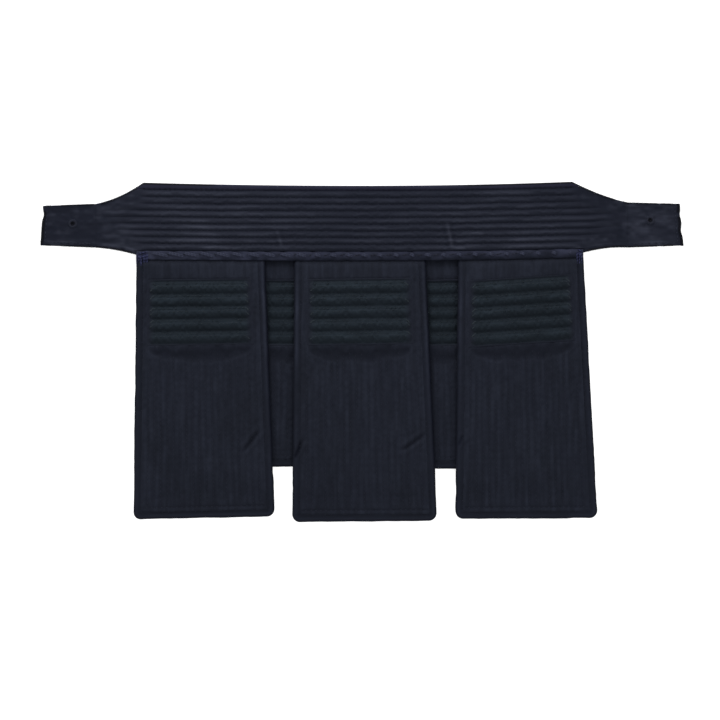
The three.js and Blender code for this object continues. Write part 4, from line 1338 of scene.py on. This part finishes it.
def flap_panel(flap):
    """A flap's panel: five stuffed ridges, in rings down its face and back underneath, across the panel."""
    settle_panel(flap)
    make = flap["make"]
    share = np.linspace(0, 1, PANEL_STATIONS)[:, None]
    lip = LIP_ALONG * np.array([1.0, 0.85, 0.6, 0.3])
    ridges = np.linspace(0, RIDGE_COUNT, RIDGE_COUNT * RIDGE_POINTS + 1)
    along = np.concatenate([-lip, ridges, RIDGE_COUNT + lip[::-1]])
    face, full, inside = panel_surface(flap, share, along[None])
    back_along = np.concatenate([[RIDGE_COUNT + lip[0]], np.linspace(RIDGE_COUNT, 0, 6), [-lip[0]]])[None]
    column, down = panel_place(flap, share, back_along)
    left, right = panel_columns(flap)
    over_bed = (column > left) & (column < right) & (back_along >= 0) & (back_along <= RIDGE_COUNT)
    level = np.where(over_bed, make["bed"] + GAP, make["thick"] - 0.7)
    back = gather(*flap_point(flap, column, down, INSET), under_pad(flap, column, down) + level)
    lit = RIDGE_WEAR[np.clip(along, 0, RIDGE_COUNT - 1).astype(int)]
    # Painted shade on the lower half of each ridge
    lit = lit * (1 - 0.45 * smoothstep(along % 1, 0.45, 0.75))
    # Painted shade beside the outer flaps' edges on the inner panels
    worn_and_lit = mix(flap["bare"], 1.0, full**1.6 * lit) * in_gap(flap, face[..., 0], face[..., 1])
    panel = loft(
        piece_name(flap, "ridges"), np.concatenate([face, back], 1), PANEL_CLOTH,
        with_back(np.clip(worn_and_lit, 0, 1), back, PANEL_BACK_WEAR), with_back(inside, back, 1.0))
    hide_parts(piece_name(flap, "panel"))


def panel_stitches(flap):
    """Two rows of thread along each ridge's upper side, and slanting stitches that tie down its ends."""
    width = flap["make"]["panel_width"] + 2 * LIP_WIDTH
    steps = np.arange(int(width / RIDGE_STITCH_PITCH) - 3)
    row, step = np.meshgrid(np.arange(2 * RIDGE_COUNT), steps, indexing="ij")
    kept = noise(step * 0.7, row * 1.9, 74) > -0.25
    row, step = row[kept], step[kept]
    ridge, lower = row // 2, row % 2
    along = ridge + np.where(lower, 0.44, 0.2) + 0.04 * noise(step * 0.5, row * 1.3, 72)
    from_left = step * RIDGE_STITCH_PITCH + 7.0 + 2.1 * lower + 0.8 * noise(step * 1.1, row * 2.3, 73)
    length = np.where(ridge < 3, 3.2, 1.7) + 0.8 * noise(step * 1.7, row * 1.1, 75)
    start, end = (panel_surface(flap, x / width, along)[0] for x in (from_left, from_left + length))
    paths = arcs(start, end, height=0.25, sunk=0.15, points=4)
    threads(piece_name(flap, "ridge_stitches"), paths, PANEL_THREAD, radius=0.3, sides=4)
    tie, ridge = np.meshgrid(np.arange(4), np.arange(RIDGE_COUNT), indexing="ij")
    kept = noise(tie * 2.3, ridge * 1.7, int(abs(flap["panel_x"]))) > -0.3
    tie, ridge = tie[kept], ridge[kept]
    middle = ridge + np.where(tie % 2, 0.62, 0.3) + 0.08 * noise(tie * 1.3, ridge * 2.7, 76)
    start, end = (
        panel_surface(flap, np.where(tie < 2, reach, width - reach) / width, middle + lean)[0]
        for reach, lean in ((7.6, -0.16), (3.2, 0.16)))
    paths = arcs(start, end, height=0.3, sunk=0.2, points=6)
    name = piece_name(flap, "ridge_ends")
    threads(name, paths, PANEL_THREAD, radius=0.75, sides=6, ends=0.3)


# Floor, light and camera


FLOOR_REACH = 4.0
FLOOR_LEVEL = -0.0002
WHITE = (1, 1, 1, 1)
LAMPS = [
    dict(name="key", at=(-0.4, 1.7, 0.8), power=24.0, size=0.9),
    dict(name="fill", at=(0.9, -0.9, 1.8), power=6.0, size=1.4),
]
PHOTO_WIDTH_MM = 720.0
VIEW_MIDDLE = (-1.9, -8.2)
LENS = 135.0
SENSOR = 36.0


def white_floor():
    """A white floor, a hair below the part, that also shines a little."""
    square = ((-1, -1), (1, -1), (1, 1), (-1, 1))
    corners = [(FLOOR_REACH * x, FLOOR_REACH * y, FLOOR_LEVEL) for x, y in square]
    mesh = bpy.data.meshes.new("floor")
    mesh.from_pydata(corners, [], [(0, 1, 2, 3)])
    floor = bpy.data.objects.new("floor", mesh)
    bpy.context.scene.collection.objects.link(floor)
    material = bpy.data.materials.new("floor")
    material.use_nodes = True
    sockets = material.node_tree.nodes["Principled BSDF"].inputs
    sockets["Base Color"].default_value = (0.85, 0.85, 0.85, 1)
    sockets["Roughness"].default_value = 0.9
    sockets["Emission Color"].default_value = WHITE
    sockets["Emission Strength"].default_value = 0.75
    mesh.materials.append(material)


def sky_and_lamps():
    """A sky that pales to white at the horizon, and two wide soft lamps turned to the middle of the part."""
    world = bpy.data.worlds.new("sky")
    world.use_nodes = True
    tree = world.node_tree
    sockets = tree.nodes["Background"].inputs
    sockets["Color"].default_value = WHITE
    toward = add_node(tree, "ShaderNodeTexCoord").outputs["Generated"]
    height = add_node(tree, "ShaderNodeSeparateXYZ", Vector=toward).outputs["Z"]
    tree.links.new(spread(tree, height, (0.03, 0.35), (1.0, 0.61)), sockets["Strength"])
    bpy.context.scene.world = world
    for row in LAMPS:
        lamp = bpy.data.lights.new(row["name"], "AREA")
        lamp.energy, lamp.size = row["power"], row["size"]
        holder = bpy.data.objects.new(row["name"], lamp)
        holder.location = row["at"]
        x, y, z = row["at"]
        holder.rotation_euler = (np.arctan2(np.hypot(x, y), z), 0, np.arctan2(x, -y))
        bpy.context.scene.collection.objects.link(holder)


def camera():
    """Straight above, as far off as the long lens needs to see the photograph's width."""
    lens = bpy.data.cameras.new("camera")
    lens.lens, lens.sensor_width = LENS, SENSOR
    above = PHOTO_WIDTH_MM * LENS / SENSOR + BELT_THICK / 2
    eye = bpy.data.objects.new("camera", lens)
    eye.location = (VIEW_MIDDLE[0] * MM, VIEW_MIDDLE[1] * MM, above * MM)
    bpy.context.scene.collection.objects.link(eye)
    bpy.context.scene.camera = eye
    bpy.context.scene.view_settings.view_transform = "Standard"


camera()
white_floor()
sky_and_lamps()
belt_pad()
binding_roll()
joining_tape()
wing_shade_stitches()
rib_stitches()
for belt_side in (LEFT, RIGHT):
    strap_cloth(belt_side)
    strap_stitches(belt_side)
    eyelet_stitches(belt_side)
for flap_row in FLAPS:
    flap_pad(flap_row)
    flap_stitches(flap_row)
    flap_edging(flap_row)
    flap_panel(flap_row)
    panel_stitches(flap_row)
